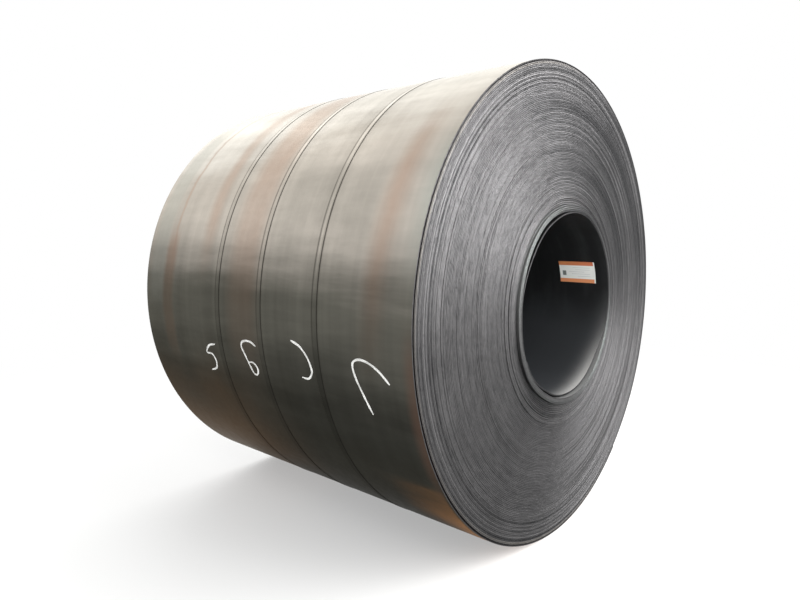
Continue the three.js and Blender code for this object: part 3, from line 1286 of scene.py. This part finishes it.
@dataclass
class WoundStrip:
    """The strip, wound 96 times round the bore, from its head to its tail."""

    passes: int = 96
    bore_radius: float = BORE_RADIUS
    outer_radius: float = COIL_RADIUS
    thickness: float = STRIP_THICKNESS
    width: float = STRIP_WIDTH
    edge_radius: float = 0.0015
    edge_steps: int = 2
    loose_stretches: tuple[LooseStretch, ...] = (
        LooseStretch((62.5, 92.0), (92.0, 128.0), turns=8, eased=7, lean=0.0090),
        LooseStretch((84.0, 120.0), (140.0, 177.5), turns=1, lean=0.0150),
        LooseStretch((212.5, 245.0), (258.0, 300.0), turns=14, eased=9, lean=0.0130),
        LooseStretch((217.0, 245.0), (290.0, 342.5), turns=1, lean=0.0060),
        LooseStretch((235.0, 285.0), (318.0, 346.0), turns=1, slide=0.015),
    )
    bore_turn: float = 2.0  # a run that starts before this turn has the bore's finish on its inner side
    side_facing: float = 0.985  # the least cosine between a side's normal and the way out from the axis
    sliver: float = 1e-4  # turns, which keeps a whole number of them from falling just short
    passing: tuple[float, float] = (0.55, 0.95)  # the part of a turn over which it slides to the next one's place
    blend: int = 2  # how many turns either way a group's end is eased over
    stepped: int = 15  # how many of the first turns keep their groups' steps
    waver: float = 0.0011  # metres either way, at most
    waver_round: float = 1.3  # how finely a turn wavers
    waver_inward: float = 0.61  # how far its waver differs from the next turn's
    calm_angle: float = 302.0  # degrees, where the turns waver least
    calm_reach: tuple[float, float] = (0.45, 0.90)  # cosines from that angle, between which the calm sets in
    calm_share: float = 0.7  # how much of the waver it takes away
    stray: float = 0.0005  # metres either way that a turn is drawn out of line
    seed: int = 7
    # How many turns stand out of the front end by how many millimetres, from the bore outwards.
    groups: tuple[tuple[int, float], ...] = (
        (2, 38.0), (3, 38.0), (8, 25.1), (5, 22.8), (24, 17.9), (9, 12.2), (12, 14.1), (5, 10.3), (4, 6.8), (8, 3.8),
        (2, 4.0), (1, 2.6), (1, 2.8), (1, 1.2), (2, 2.2), (1, 1.2), (2, 2.0), (1, 1.0), (2, 1.8), (2, -2.0), (1, 0.0),
    )
    # Single turns that stand out or lie in, by radius and by how far, in millimetres.
    strays: tuple[tuple[float, float], ...] = (
        (855, -0.6), (845, 0.5), (832, -0.7), (823, 0.6), (816, -0.6), (808, 0.6), (800, -0.6), (784, 0.6),
        (757, -1.0), (740, 0.8), (717, -1.2), (693, 0.8), (671, -1.0), (635, 0.8), (595, -0.6), (580, 0.5),
        (540, 0.5), (530, -0.7), (512, 0.7), (497, 0.8), (488, -1.3), (478, 1.3), (460, -1.6), (445, 0.8), (425, -1.0),
    )
    # The runs of turns: name, first turn, where the last one ends, and how many flats a turn has.
    sections: tuple[tuple[str, float, float, int], ...] = (
        ("innermost_turn", 0.0, 1.0, 360),
        ("inner_turns", 1.0, 32.0, 144),
        ("middle_turns", 32.0, 63.0, 144),
        ("outer_turns", 63.0, 94.0, 144),
        ("outermost_turns", 94.0, 95.0 + TAIL_SHARE, 360),
    )

    @property
    def pitch(self) -> float:
        """Gives the distance from one turn to the next."""
        return (self.outer_radius - self.bore_radius) / self.passes

    def stand_outs(self) -> list[float]:
        """Works out how far each turn stands out of the front end.

        Returns:
            A length in metres for each turn, from the bore outwards, and one more.
        """
        drawn = random.Random(self.seed)
        lengths = [length for turns, length in self.groups for _ in range(turns)]
        most, least = max(lengths), min(lengths)
        near = [lengths[max(0, i - self.blend):i + self.blend + 1] for i in range(len(lengths))]
        lengths[self.stepped:] = [sum(window) / len(window) for window in near[self.stepped:]]
        for radius, length in self.strays:
            turn = round((radius / 1000 - self.bore_radius) / self.pitch - 0.5)
            lengths[turn] += length
        lengths = [length + drawn.uniform(-1, 1) * self.stray * 1000 for length in lengths]
        spare = self.waver * 1000
        return [min(max(length, least + spare), most - spare) / 1000 for length in lengths + lengths[-1:]]

    def _loosened(self, tree: ShapeTree, lap: Socket, share: Socket) -> tuple[Operand, Operand]:
        """Finds how far the innermost turns lean into the bore, and how far they have slid back.

        Args:
            tree: the tree that winds the turns.
            lap: how many whole turns lie between the head and the place.
            share: the part of a turn beyond them.

        Returns:
            Both distances, in metres.
        """
        lean, slide = 0.0, 0.0
        for loose in self.loose_stretches:
            rise, fall = (
                tree.step(share, *((edge * DEGREES - HEAD_ANGLE) / FULL_TURN % 1.0 for edge in span))
                for span in (loose.rise, loose.fall)
            )
            loosened = rise * (1 - fall) * tree.math("MULTIPLY", loose.turns - lap, 1 / loose.eased, clamped=True)
            lean = lean + loosened * loose.lean
            slide = slide + loosened * loose.slide
        return lean, slide

    @staticmethod
    def _layer(tree: ShapeTree, lap: Socket, share: Socket, passes: Socket) -> Socket:
        """Counts the strips that lie under a place, where turns climb over the strip's head and tail.

        Args:
            tree: the tree that winds the turns.
            lap: how many whole turns lie between the head and the place.
            share: the part of a turn beyond them.
            passes: how many turns the coil has.

        Returns:
            How many, with a part of one where the turn is climbing.
        """
        climb = CLIMB / FULL_TURN
        over_tail = tree.step(share, TAIL_SHARE, TAIL_SHARE + climb)
        over_head = tree.step(share, 1 - climb, 1.0)
        deep = lap / (passes - 2)
        return lap + deep * over_tail + (1 - deep) * over_head

    def _standing_out(self, tree: ShapeTree, lap: Socket, share: Socket) -> Socket:
        """Finds how far a turn stands out of the front end, on its way to the next one's place.

        Args:
            tree: the tree that winds the turns, whose guide carries a length for each turn.
            lap: how many whole turns lie between the head and the place.
            share: the part of a turn beyond them.

        Returns:
            The length, in metres.
        """
        here, beyond = (
            tree.out("GeometryNodeSampleIndex", {"clamp": True}, {
                "Geometry": tree.guide, "Value": tree.carried("stand_out"), "Index": lap + extra})
            for extra in (0, 1)
        )
        return here + (beyond - here) * tree.step(share, *self.passing)

    def _wavering(self, tree: ShapeTree, cosine: Socket, sine: Socket, inward: Socket) -> Socket:
        """Makes the turns waver along the coil, least round the calm angle.

        Args:
            tree: the tree that winds the turns.
            cosine: the cosine of the place's angle.
            sine: its sine.
            inward: the noise's third measure, which rises from turn to turn.

        Returns:
            The waver, mostly from -0.5 to 0.5.
        """
        place = tree.joined(cosine * self.waver_round, sine * self.waver_round, inward)
        toward_calm = cosine * math.cos(self.calm_angle * DEGREES) + sine * math.sin(self.calm_angle * DEGREES)
        calm = 1 - tree.step(toward_calm, *self.calm_reach) * self.calm_share
        return (tree.noise(place, 1.0, 3.0, 0.6) - 0.5) * 2 * calm

    def _tree(self, first: float, last: float, steps: int, faces: Sequence[bpy.types.Material]) -> ShapeTree:
        """Builds the tree that winds a run of turns.

        Args:
            first: the run's first turn, counted from the head.
            last: where the run ends.
            steps: how many flats a turn has.
            faces: the materials of the edges, the outer side and the inner side.

        Returns:
            The tree.
        """
        tree = ShapeTree("wound_turns")
        first_turn = tree.named("First Turn", float(first))
        last_turn = tree.named("Last Turn", float(last))
        per_turn = tree.named("Steps Each Turn", int(steps))
        passes = tree.named("Passes", float(self.passes))
        bore = tree.named("Bore Radius", self.bore_radius)
        pitch = tree.named("Pitch", self.pitch)
        thickness = tree.named("Strip Thickness", self.thickness)
        width = tree.named("Strip Width", self.width)
        waver = tree.named("Waver", self.waver)
        seed = tree.named("Seed", int(self.seed))
        edge, outside, inside = (
            tree.named(label, material) for label, material in zip(("Edges", "Outer Side", "Inner Side"), faces)
        )
        count = tree.math("ROUND", (last_turn - first_turn) * per_turn) + 1
        line = tree.out("GeometryNodeResampleCurve", None, {
            "Curve": tree.out("GeometryNodeCurvePrimitiveLine"), "Count": count})
        turn = first_turn + tree.out("GeometryNodeInputIndex") / per_turn
        lap = tree.math("FLOOR", turn + self.sliver)
        share = turn - lap
        lean, slide = self._loosened(tree, lap, share)
        radius = bore + thickness / 2 + pitch * self._layer(tree, lap, share, passes) - lean
        angle = turn * FULL_TURN + HEAD_ANGLE
        cosine, sine = tree.math("COSINE", angle), tree.math("SINE", angle)
        wave = self._wavering(tree, cosine, sine, turn * self.waver_inward + seed) * waver
        axial = self._standing_out(tree, lap, share) + wave - slide - MIDDLE_OF_OUTER_TURNS
        spiral = tree.out("GeometryNodeSetPosition", None, {
            "Geometry": line, "Position": tree.joined(radius * cosine, radius * sine, 0.0)})
        spiral = tree.out("GeometryNodeSetCurveNormal", {"mode": "Z_UP"}, {"Curve": spiral})
        for label, value in (("turn", turn + self.sliver), ("front", -axial - width / 2 - FRONT_RIM)):
            spiral = tree.out("GeometryNodeStoreNamedAttribute", None, {
                "Geometry": spiral, "Name": label, "Value": value})
        mesh = tree.swept(spiral, tree.rounded_section(thickness, width, self.edge_radius, self.edge_steps))
        mesh = tree.out("GeometryNodeSetPosition", None, {
            "Geometry": mesh, "Offset": tree.joined(0.0, 0.0, -tree.carried("front") - width / 2 - FRONT_RIM)})
        normal = tree.out("GeometryNodeInputNormal", None, None, "True Normal")
        facing = tree.vector("DOT_PRODUCT", normal, tree.outward())
        outer_faces = tree.math("GREATER_THAN", facing, self.side_facing)
        inner_faces = tree.math("LESS_THAN", facing, -self.side_facing)
        tree.finish(tree.upright(mesh), (edge, None), (outside, outer_faces), (inside, inner_faces))
        return tree

    def build(self, edge: bpy.types.Material, flank: bpy.types.Material, bore: bpy.types.Material) -> None:
        """Builds the turns.

        Args:
            edge: the finish of the strip's edges.
            flank: the finish of the outermost turn's outer side.
            bore: the finish of the innermost turn's inner side.
        """
        stand_outs = self.stand_outs()
        for name, first, last, steps in self.sections:
            guide = guide_mesh(f"{name}.guide", [(0, 0, 0)] * len(stand_outs), {"stand_out": stand_outs})
            outside = flank if last > self.passes - 1 else edge
            inside = bore if first < self.bore_turn else edge
            piece = self._tree(first, last, steps, (edge, outside, inside)).run(name, guide)
            creased(piece.data, self.thickness * 1.5)
            ridden(piece, "wound_strip", slot=Slot.STRIP)


def creased(mesh: bpy.types.Mesh, short: float, larger: float = 16.0) -> None:
    """Marks as sharp the edges between a long face and a narrow one, so that the long face shades flat across.

    Args:
        mesh: the mesh.
        short: the width under which a face is narrow.
        larger: how many times the narrow face's area the long one has.
    """
    made = bmesh.new()
    made.from_mesh(mesh)
    for edge in made.edges:
        if len(edge.link_faces) == 2:
            length = min(max(side.calc_length() for side in face.edges) for face in edge.link_faces)
            small, large = sorted(face.calc_area() for face in edge.link_faces)
            if small < short * length and large > larger * small:
                edge.smooth = False
    made.to_mesh(mesh)
    made.free()


# ---------------------------------------------------------------- straps and seals


@dataclass
class Strap:
    """A steel band round the coil, whose ends lie over each other in a seal."""

    name: str
    place: float
    width: float = 0.0254
    thickness: float = 0.0009
    lap: float = 0.170
    rise: float = 4 * DEGREES  # over which the upper end climbs on to the lower one
    ease: float = 0.0002  # the air between the two ends, and half of that between the strap and the turn
    corner_share: float = 0.45  # the radius of its edges, in thicknesses
    corner_steps: int = 2
    steps: int = 480
    reach: int = 30  # degrees past the strip's tail, before which the strap has come down on to the turn

    PLACES = {"front": -0.3505, "middle": -0.0365, "rear": 0.2375}

    @classmethod
    def distance(cls, tree: NodeTree, along: Socket) -> Socket:
        """Measures how far a point is from the nearest strap's middle line.

        Args:
            tree: the material's tree.
            along: the point's distance from the front rim, in metres.

        Returns:
            The distance.
        """
        near = None
        for place in cls.PLACES.values():
            one = tree.math("ABSOLUTE", along - (place - FRONT_RIM))
            near = one if near is None else tree.math("MINIMUM", near, one)
        return near

    @staticmethod
    def _turn_radius(past: float) -> float:
        """Gives the outermost turn's radius at so many radians past the strip's tail."""
        low = STRIP_THICKNESS * (1 - min(1.0, past / CLIMB))
        return COIL_RADIUS - (low if past > TOUCHING else 0.0)

    def _taut_radius(self, angle: float) -> float:
        """Finds the taut line round the outermost turn, which spans the step at the strip's tail.

        Args:
            angle: the angle round the coil.

        Returns:
            The radius of that line there.
        """
        past = (angle - TAIL_ANGLE) % FULL_TURN
        best = self._turn_radius(past)
        for ahead in range(1, self.reach):
            end = ahead * DEGREES
            if past < end:
                near, far = COIL_RADIUS, self._turn_radius(end)
                chord = near * far * math.sin(end) / (near * math.sin(past) + far * math.sin(end - past))
                best = max(best, chord)
        return best

    def _path(self) -> list[tuple[float, float, float]]:
        """Lays out the strap's middle line.

        Returns:
            Its points round Z, from the lower end to the upper one.
        """
        half_lap = self.lap / 2 / COIL_RADIUS
        start, end = SEAL_ANGLE - half_lap, SEAL_ANGLE + half_lap + FULL_TURN
        points = []
        for i in range(self.steps + 1):
            angle = start + (end - start) * i / self.steps
            over = min(1.0, max(0.0, (angle - start - FULL_TURN + self.rise) / self.rise))
            lift = (self.thickness + self.ease) * over * over * (3 - 2 * over)
            radius = self._taut_radius(angle) + self.thickness / 2 + self.ease / 2 + lift
            points.append((radius * math.cos(angle), radius * math.sin(angle), 0.0))
        return points

    def build(self, steel: bpy.types.Material) -> None:
        """Builds the strap.

        Args:
            steel: its finish.
        """
        tree = ShapeTree("strap_band")
        width = tree.named("Strap Width", self.width)
        thickness = tree.named("Strap Thickness", self.thickness)
        place = tree.named("Place Along Coil", self.place)
        dress = tree.named("Finish", steel)
        path = tree.out("GeometryNodeMeshToCurve", None, {"Mesh": tree.guide})
        path = tree.out("GeometryNodeSetCurveNormal", {"mode": "Z_UP"}, {"Curve": path})
        section = tree.rounded_section(thickness, width, thickness * self.corner_share, self.corner_steps)
        tree.finish(tree.upright(tree.swept(path, section), place), (dress, None))
        points = self._path()
        name = f"steel_strap_{self.name}"
        guide = guide_mesh(f"{name}.guide", points, chains=[range(len(points))])
        piece = tree.run(name, guide)
        creased(piece.data, self.thickness)
        ridden(piece, f"strap_{self.name}", slot=Slot.STRAP)


@dataclass
class Seal:
    """A folded clip of sheet over the strap's doubled ends, notched on both sides."""

    name: str
    place: float
    length: float = 0.056
    half_width: float = 0.0145
    height: float = 0.0034
    sheet: float = 0.0012
    fold: float = 0.0016
    bends: int = 5
    clearance: float = 0.0002
    notch_radius: float = 0.004
    notch_depth: float = 0.0016
    notches: tuple[float, ...] = (-0.012, 0.012)
    stations: int = 96
    sharp: float = 40 * DEGREES

    def _half_width_at(self, along: float) -> float:
        """Gives half the clip's width at a place, less where it is notched.

        Args:
            along: metres from the clip's middle.

        Returns:
            Half the width.
        """
        bite = 0.0
        for notch in self.notches:
            off = abs(along - notch)
            reach = math.sqrt(max(0.0, self.notch_radius**2 - off**2))
            bite = max(bite, reach - (self.notch_radius - self.notch_depth))
        return self.half_width - max(0.0, bite)

    def _section(self, half: float) -> list[tuple[float, float]]:
        """Gives the folded sheet's closed outline at one place.

        Args:
            half: half the width there.

        Returns:
            Points across and up, round the outside and back along the inside.
        """
        outer, inner = [(-half, 0.0)], [(-half + self.sheet, 0.0)]
        rising = list(range(self.bends + 1))
        for side, turn in ((-1, rising), (1, rising[::-1])):
            across, up = side * (half - self.fold), self.height - self.fold
            for i in turn:
                bent = i / self.bends * math.pi / 2
                for line, radius in ((outer, self.fold), (inner, self.fold - self.sheet)):
                    line.append((across + side * radius * math.cos(bent), up + radius * math.sin(bent)))
        outer.append((half, 0.0))
        inner.append((half - self.sheet, 0.0))
        return outer + inner[::-1]

    def build(self, steel: bpy.types.Material) -> None:
        """Builds the seal.

        Args:
            steel: its finish.
        """
        made = bmesh.new()
        rings = []
        for i in range(self.stations + 1):
            along = (i / self.stations - 0.5) * self.length
            section = self._section(self._half_width_at(along))
            rings.append([made.verts.new((along, across, up)) for across, up in section])
        count = len(rings[0])
        for near, far in zip(rings, rings[1:]):
            for i in range(count):
                j = (i + 1) % count
                made.faces.new((near[i], near[j], far[j], far[i]))
        made.faces.new(rings[0][::-1])
        made.faces.new(rings[-1])
        bmesh.ops.triangulate(made, faces=[f for f in made.faces if len(f.verts) > 4])
        bmesh.ops.recalc_face_normals(made, faces=made.faces)
        seat = COIL_RADIUS + self.clearance
        turned = Matrix.Rotation(math.pi / 2 - SEAL_ANGLE, 4, "Y")
        spot = Vector((seat * math.cos(SEAL_ANGLE), self.place, AXIS_HEIGHT + seat * math.sin(SEAL_ANGLE)))
        made.transform(Matrix.Translation(spot) @ turned)
        piece = smoothed(f"crimped_seal_{self.name}", made, steel, self.sharp)
        ridden(piece, f"seal_{self.name}", slot=Slot.STRAP)


# ---------------------------------------------------------------- label and chalk


@dataclass
class Label:
    """A sheet of paper stuck to the bore's wall, lifting a little at its corners."""

    length: float = 0.170
    height: float = 0.102
    thickness: float = 0.0003
    angle: float = 17.2 * DEGREES
    front: float = FRONT_RIM + 0.020
    clearance: float = 0.00025
    lift: float = 0.0012
    lift_start: float = 1.35  # where a corner starts to lift, on a measure that is 2 at the corner
    columns: int = 40
    rows: int = 24
    sharp: float = 50 * DEGREES

    PRINT = "print"

    def _point(self, u: float, v: float, raised: float) -> tuple[float, float, float]:
        """Gives a point of the sheet.

        Args:
            u: the share of the way into the bore.
            v: the share of the way up.
            raised: how far off the wall's side of the sheet it is.

        Returns:
            The point.
        """
        corner = max(0.0, abs(2 * u - 1) + abs(2 * v - 1) - self.lift_start) / (2 - self.lift_start)
        off = self.clearance + raised + self.lift * corner**2
        radius = BORE_RADIUS - off
        angle = self.angle + (v - 0.5) * self.height / BORE_RADIUS
        return radius * math.cos(angle), self.front + u * self.length, AXIS_HEIGHT + radius * math.sin(angle)

    def build(self, paper: bpy.types.Material) -> None:
        """Builds the label.

        Args:
            paper: its finish.
        """
        made = bmesh.new()
        layer = made.loops.layers.uv.new(self.PRINT)
        shares = [[(i / self.columns, j / self.rows) for i in range(self.columns + 1)] for j in range(self.rows + 1)]
        back, front = (
            [[made.verts.new(self._point(u, v, raised)) for u, v in row] for row in shares]
            for raised in (0.0, self.thickness)
        )
        for j in range(self.rows):
            for i in range(self.columns):
                made.faces.new((front[j][i], front[j][i + 1], front[j + 1][i + 1], front[j + 1][i]))
                made.faces.new((back[j][i], back[j + 1][i], back[j + 1][i + 1], back[j][i + 1]))
        ring = [(0, i) for i in range(self.columns)] + [(j, self.columns) for j in range(self.rows)]
        ring += [(self.rows, i) for i in range(self.columns, 0, -1)] + [(j, 0) for j in range(self.rows, 0, -1)]
        for (j, i), (m, n) in zip(ring, ring[1:] + ring[:1]):
            made.faces.new((back[j][i], back[m][n], front[m][n], front[j][i]))
        bmesh.ops.recalc_face_normals(made, faces=made.faces)
        for grid in (back, front):
            for vert, share in zip(sum(grid, []), sum(shares, [])):
                for loop in vert.link_loops:
                    loop[layer].uv = share
        ridden(smoothed("bore_label", made, paper, self.sharp), "label", slot=Slot.PAPER)


@dataclass(frozen=True)
class Mark:
    """A chalk mark on the flank, drawn in one stroke inside a box."""

    name: str
    far_side: float  # metres from the front rim
    box_width: float  # metres, towards the front rim
    bottom: float  # degrees round the coil
    box_height: float  # degrees, upwards
    points: tuple[tuple[float, float], ...]  # shares of the box, towards the front rim and up


@dataclass
class ChalkMarks:
    """Numerals and a tick, written by hand on the coil's side."""

    line_width: float = 0.0120
    line_thickness: float = 0.0006
    path_points: int = 56
    section_points: int = 10
    seed: int = 3
    grain: float = 30.0  # how finely the hand's pressure changes along a line
    press: float = 0.75  # the line's usual size, in shares of its full width and thickness
    press_change: float = 0.9
    end_share: float = 0.35  # what is left of that size at a line's ends
    marks: tuple[Mark, ...] = (
        Mark("chalk_five", 1.140, 0.073, 197.4, 7.45, (
            (1.00, 1.00), (0.37, 0.91), (0.00, 0.65), (0.53, 0.62), (0.78, 0.39), (0.61, 0.12), (0.05, 0.00))),
        Mark("chalk_six", 0.876, 0.094, 195.35, 7.95, (
            (1.00, 0.89), (0.65, 1.00), (0.17, 0.97), (0.00, 0.81), (0.17, 0.55), (0.36, 0.26), (0.55, 0.00),
            (0.78, 0.00), (0.88, 0.19), (0.65, 0.35), (0.28, 0.33))),
        Mark("chalk_one", 0.565, 0.095, 193.2, 7.95, (
            (0.00, 1.00), (0.48, 0.88), (0.83, 0.64), (1.00, 0.37), (1.00, 0.18), (0.76, 0.00), (0.39, 0.00))),
        Mark("chalk_tick", 0.259, 0.157, 197.9, 11.3, (
            (1.00, 0.66), (0.75, 0.85), (0.47, 0.97), (0.21, 1.00), (0.05, 0.95), (0.00, 0.85), (0.06, 0.64),
            (0.21, 0.35), (0.38, 0.00))),
    )

    def build(self, white: bpy.types.Material) -> None:
        """Builds each mark as its own piece.

        Args:
            white: the chalk's finish.
        """
        for mark in self.marks:
            points = []
            for across, up in mark.points:
                along = mark.far_side - across * mark.box_width
                degrees = mark.bottom - up * mark.box_height
                points.append((degrees * DEGREES, along + FRONT_RIM, 0.0))
            guide = guide_mesh(f"{mark.name}.guide", points, chains=[range(len(points))])
            ridden(self._tree(white).run(mark.name, guide))

    def _tree(self, white: bpy.types.Material) -> ShapeTree:
        """Builds the tree that lays strokes on the flank.

        Args:
            white: the chalk's finish.

        Returns:
            The tree. Its guide's points are an angle in radians and a place along the coil.
        """
        tree = ShapeTree("chalk_strokes")
        radius = tree.named("Coil Radius", COIL_RADIUS)
        width = tree.named("Line Width", self.line_width)
        thickness = tree.named("Line Thickness", self.line_thickness)
        seed = tree.named("Seed", self.seed)
        dress = tree.named("Finish", white)
        path = tree.out("GeometryNodeMeshToCurve", None, {"Mesh": tree.guide})
        path = tree.out("GeometryNodeCurveSplineType", {"spline_type": "CATMULL_ROM"}, {"Curve": path})
        path = tree.out("GeometryNodeResampleCurve", None, {"Curve": path, "Count": self.path_points})
        angle, along, _ = tree.parted(tree.out("GeometryNodeInputPosition"))
        laid = tree.joined(radius * tree.math("COSINE", angle), along, radius * tree.math("SINE", angle) + AXIS_HEIGHT)
        path = tree.out("GeometryNodeSetPosition", None, {"Geometry": path, "Position": laid})
        path = tree.out("GeometryNodeSetCurveNormal", {"mode": "FREE"}, {"Curve": path, "Normal": tree.outward()})
        share = tree.out("GeometryNodeSplineParameter", None, None, "Factor")
        x, _, z = tree.parted(tree.out("GeometryNodeInputPosition"))
        spot = tree.joined(x * self.grain, seed, z * self.grain)
        press = self.press + (tree.noise(spot, 1.6, 3.0, 0.6) - 0.5) * self.press_change
        ends = tree.math("MINIMUM", tree.step(share, -0.03, 0.05), 1 - tree.step(share, 0.90, 1.03))
        section = tree.out("GeometryNodeCurvePrimitiveCircle", None, {"Resolution": self.section_points, "Radius": 0.5})
        section = tree.out("GeometryNodeTransform", None, {
            "Geometry": section, "Scale": tree.joined(thickness, width, 1.0)})
        scale = press * (self.end_share + ends * (1 - self.end_share))
        tree.finish(tree.swept(path, section, scale), (dress, None))
        return tree


# ---------------------------------------------------------------- studio


@dataclass(frozen=True)
class Softbox:
    """A rectangular lamp that looks at a point of the coil."""

    name: str
    azimuth: float  # degrees from +Y towards +X
    elevation: float
    distance: float
    width: float
    height: float
    radiance: float
    colour: Colour = WHITE
    target: tuple[float, float, float] = (0.0, 0.0, 0.95)

    def build(self) -> None:
        """Builds the lamp."""
        lamp = bpy.data.lights.new(self.name, "AREA")
        lamp.shape = "RECTANGLE"
        lamp.size, lamp.size_y = self.width, self.height
        lamp.energy = self.radiance * math.pi * self.width * self.height
        lamp.color = self.colour
        made = bpy.data.objects.new(self.name, lamp)
        bpy.context.scene.collection.objects.link(made)
        azimuth, elevation = self.azimuth * DEGREES, self.elevation * DEGREES
        away = Vector((
            math.sin(azimuth) * math.cos(elevation), math.cos(azimuth) * math.cos(elevation), math.sin(elevation)))
        made.location = Vector(self.target) + away * self.distance
        made.rotation_euler = away.to_track_quat("Z", "Y").to_euler()
        made.visible_camera = False


def seen(tree: NodeTree) -> Socket:
    """Finds what the camera sees, straight on, in metal or through glass.

    Args:
        tree: the tree of a material or of the world.

    Returns:
        1 for what it sees, and 0 for what only lights.
    """
    path = tree.node("ShaderNodeLightPath")
    rays = [Socket(tree, path.outputs[name]) for name in ("Is Camera Ray", "Is Glossy Ray", "Is Transmission Ray")]
    return tree.math("MAXIMUM", tree.math("MAXIMUM", rays[0], rays[1]), rays[2])


@dataclass(frozen=True)
class FloorPaint(Finish):
    """White paint near the coil, where the floor takes its shadow, and plain white far off."""

    name: str = "pale_floor"
    paint: Colour = (0.82, 0.82, 0.81)
    fade: tuple[float, float] = (1.0, 4.5)  # metres from the coil
    near_glow: float = 0.4  # the share of plain white next to the coil

    def shader(self, tree: NodeTree) -> Socket:
        """Builds the nodes of the floor.

        Args:
            tree: the material's tree.

        Returns:
            The shader.
        """
        position = tree.out("ShaderNodeTexCoord", None, None, "Object")
        glowing = tree.step(tree.vector("LENGTH", position), *self.fade) * (1 - self.near_glow) + self.near_glow
        paint = tree.out("ShaderNodeBsdfPrincipled", None, {"Base Color": self.paint, "Roughness": 0.7})
        glow = tree.out("ShaderNodeEmission", None, {"Color": WHITE, "Strength": 1.0})
        return tree.out("ShaderNodeMixShader", None, {0: glowing * seen(tree), 1: paint, 2: glow})


@dataclass
class Studio:
    """The pale floor, the plain soft light and the camera."""

    floor_size: float = 40.0
    ambient: float = 0.40
    softboxes: tuple[Softbox, ...] = (
        Softbox("back_right", 43.0, 37.0, 5.0, 5.2, 3.6, 2.6),
        Softbox("back_left", -23.0, 36.0, 5.0, 6.0, 3.6, 1.65),
        Softbox("overhead", 25.0, 64.0, 5.0, 5.5, 2.8, 1.2),
        Softbox("front_key", 162.0, 27.0, 5.5, 4.4, 2.8, 11.5),
        Softbox("side_key", 142.0, 15.0, 5.5, 3.0, 2.4, 4.5),
        Softbox("front_low", 182.0, 12.0, 5.5, 2.6, 2.0, 7.0),
        Softbox("camera_fill", 226.0, 30.0, 6.0, 2.6, 2.0, 5.0),
    )
    eye: tuple[float, float, float] = (-2.35395, -1.93023, 1.26485)
    yaw: float = 47.712
    pitch: float = -5.150
    lens: float = 27.91
    sensor: float = 36.0
    shift: tuple[float, float] = (0.02322, -0.01771)
    clip: tuple[float, float] = (0.05, 200.0)

    def build(self) -> None:
        """Builds the floor, the lights, the world and the camera."""
        self._floor()
        self._world()
        for softbox in self.softboxes:
            softbox.build()
        self._camera()
        bpy.context.scene.view_settings.view_transform = "Standard"

    def _floor(self) -> None:
        """Builds the floor."""
        half = self.floor_size / 2
        mesh = bpy.data.meshes.new("floor")
        mesh.from_pydata([(-half, -half, 0), (half, -half, 0), (half, half, 0), (-half, half, 0)], [], [(0, 1, 2, 3)])
        mesh.materials.append(FloorPaint().made())
        placed("floor", mesh)

    def _world(self) -> None:
        """Builds the world, white where it is seen and dimmer where it only lights."""
        world = bpy.data.worlds.new("studio")
        bpy.context.scene.world = world
        world.use_nodes = True
        world.node_tree.nodes.clear()
        tree = NodeTree(world.node_tree)
        strength = self.ambient + seen(tree) * (1 - self.ambient)
        light = tree.out("ShaderNodeBackground", None, {"Color": WHITE, "Strength": strength})
        tree.node("ShaderNodeOutputWorld", None, {"Surface": light})

    def _camera(self) -> None:
        """Builds the camera."""
        data = bpy.data.cameras.new("camera")
        data.sensor_width = self.sensor
        data.lens = self.lens
        data.shift_x, data.shift_y = self.shift
        data.clip_start, data.clip_end = self.clip
        camera = bpy.data.objects.new("camera", data)
        bpy.context.scene.collection.objects.link(camera)
        camera.location = self.eye
        camera.rotation_euler = ((90 + self.pitch) * DEGREES, 0.0, -self.yaw * DEGREES)
        bpy.context.scene.camera = camera


def main() -> None:
    """Builds the coil's pieces, then the studio."""
    edge, flank, bore = StripEdge().made(), Flank().made(), BoreWall().made()
    WoundStrip().build(edge, flank, bore)
    strap_steel, seal_steel = StrapSteel().made(), SealSteel().made()
    for name, place in Strap.PLACES.items():
        Strap(name, place).build(strap_steel)
        Seal(name, place).build(seal_steel)
    Label().build(LabelPaper().made())
    ChalkMarks().build(Chalk().made())
    Studio().build()


if __name__ == "__main__":
    main()
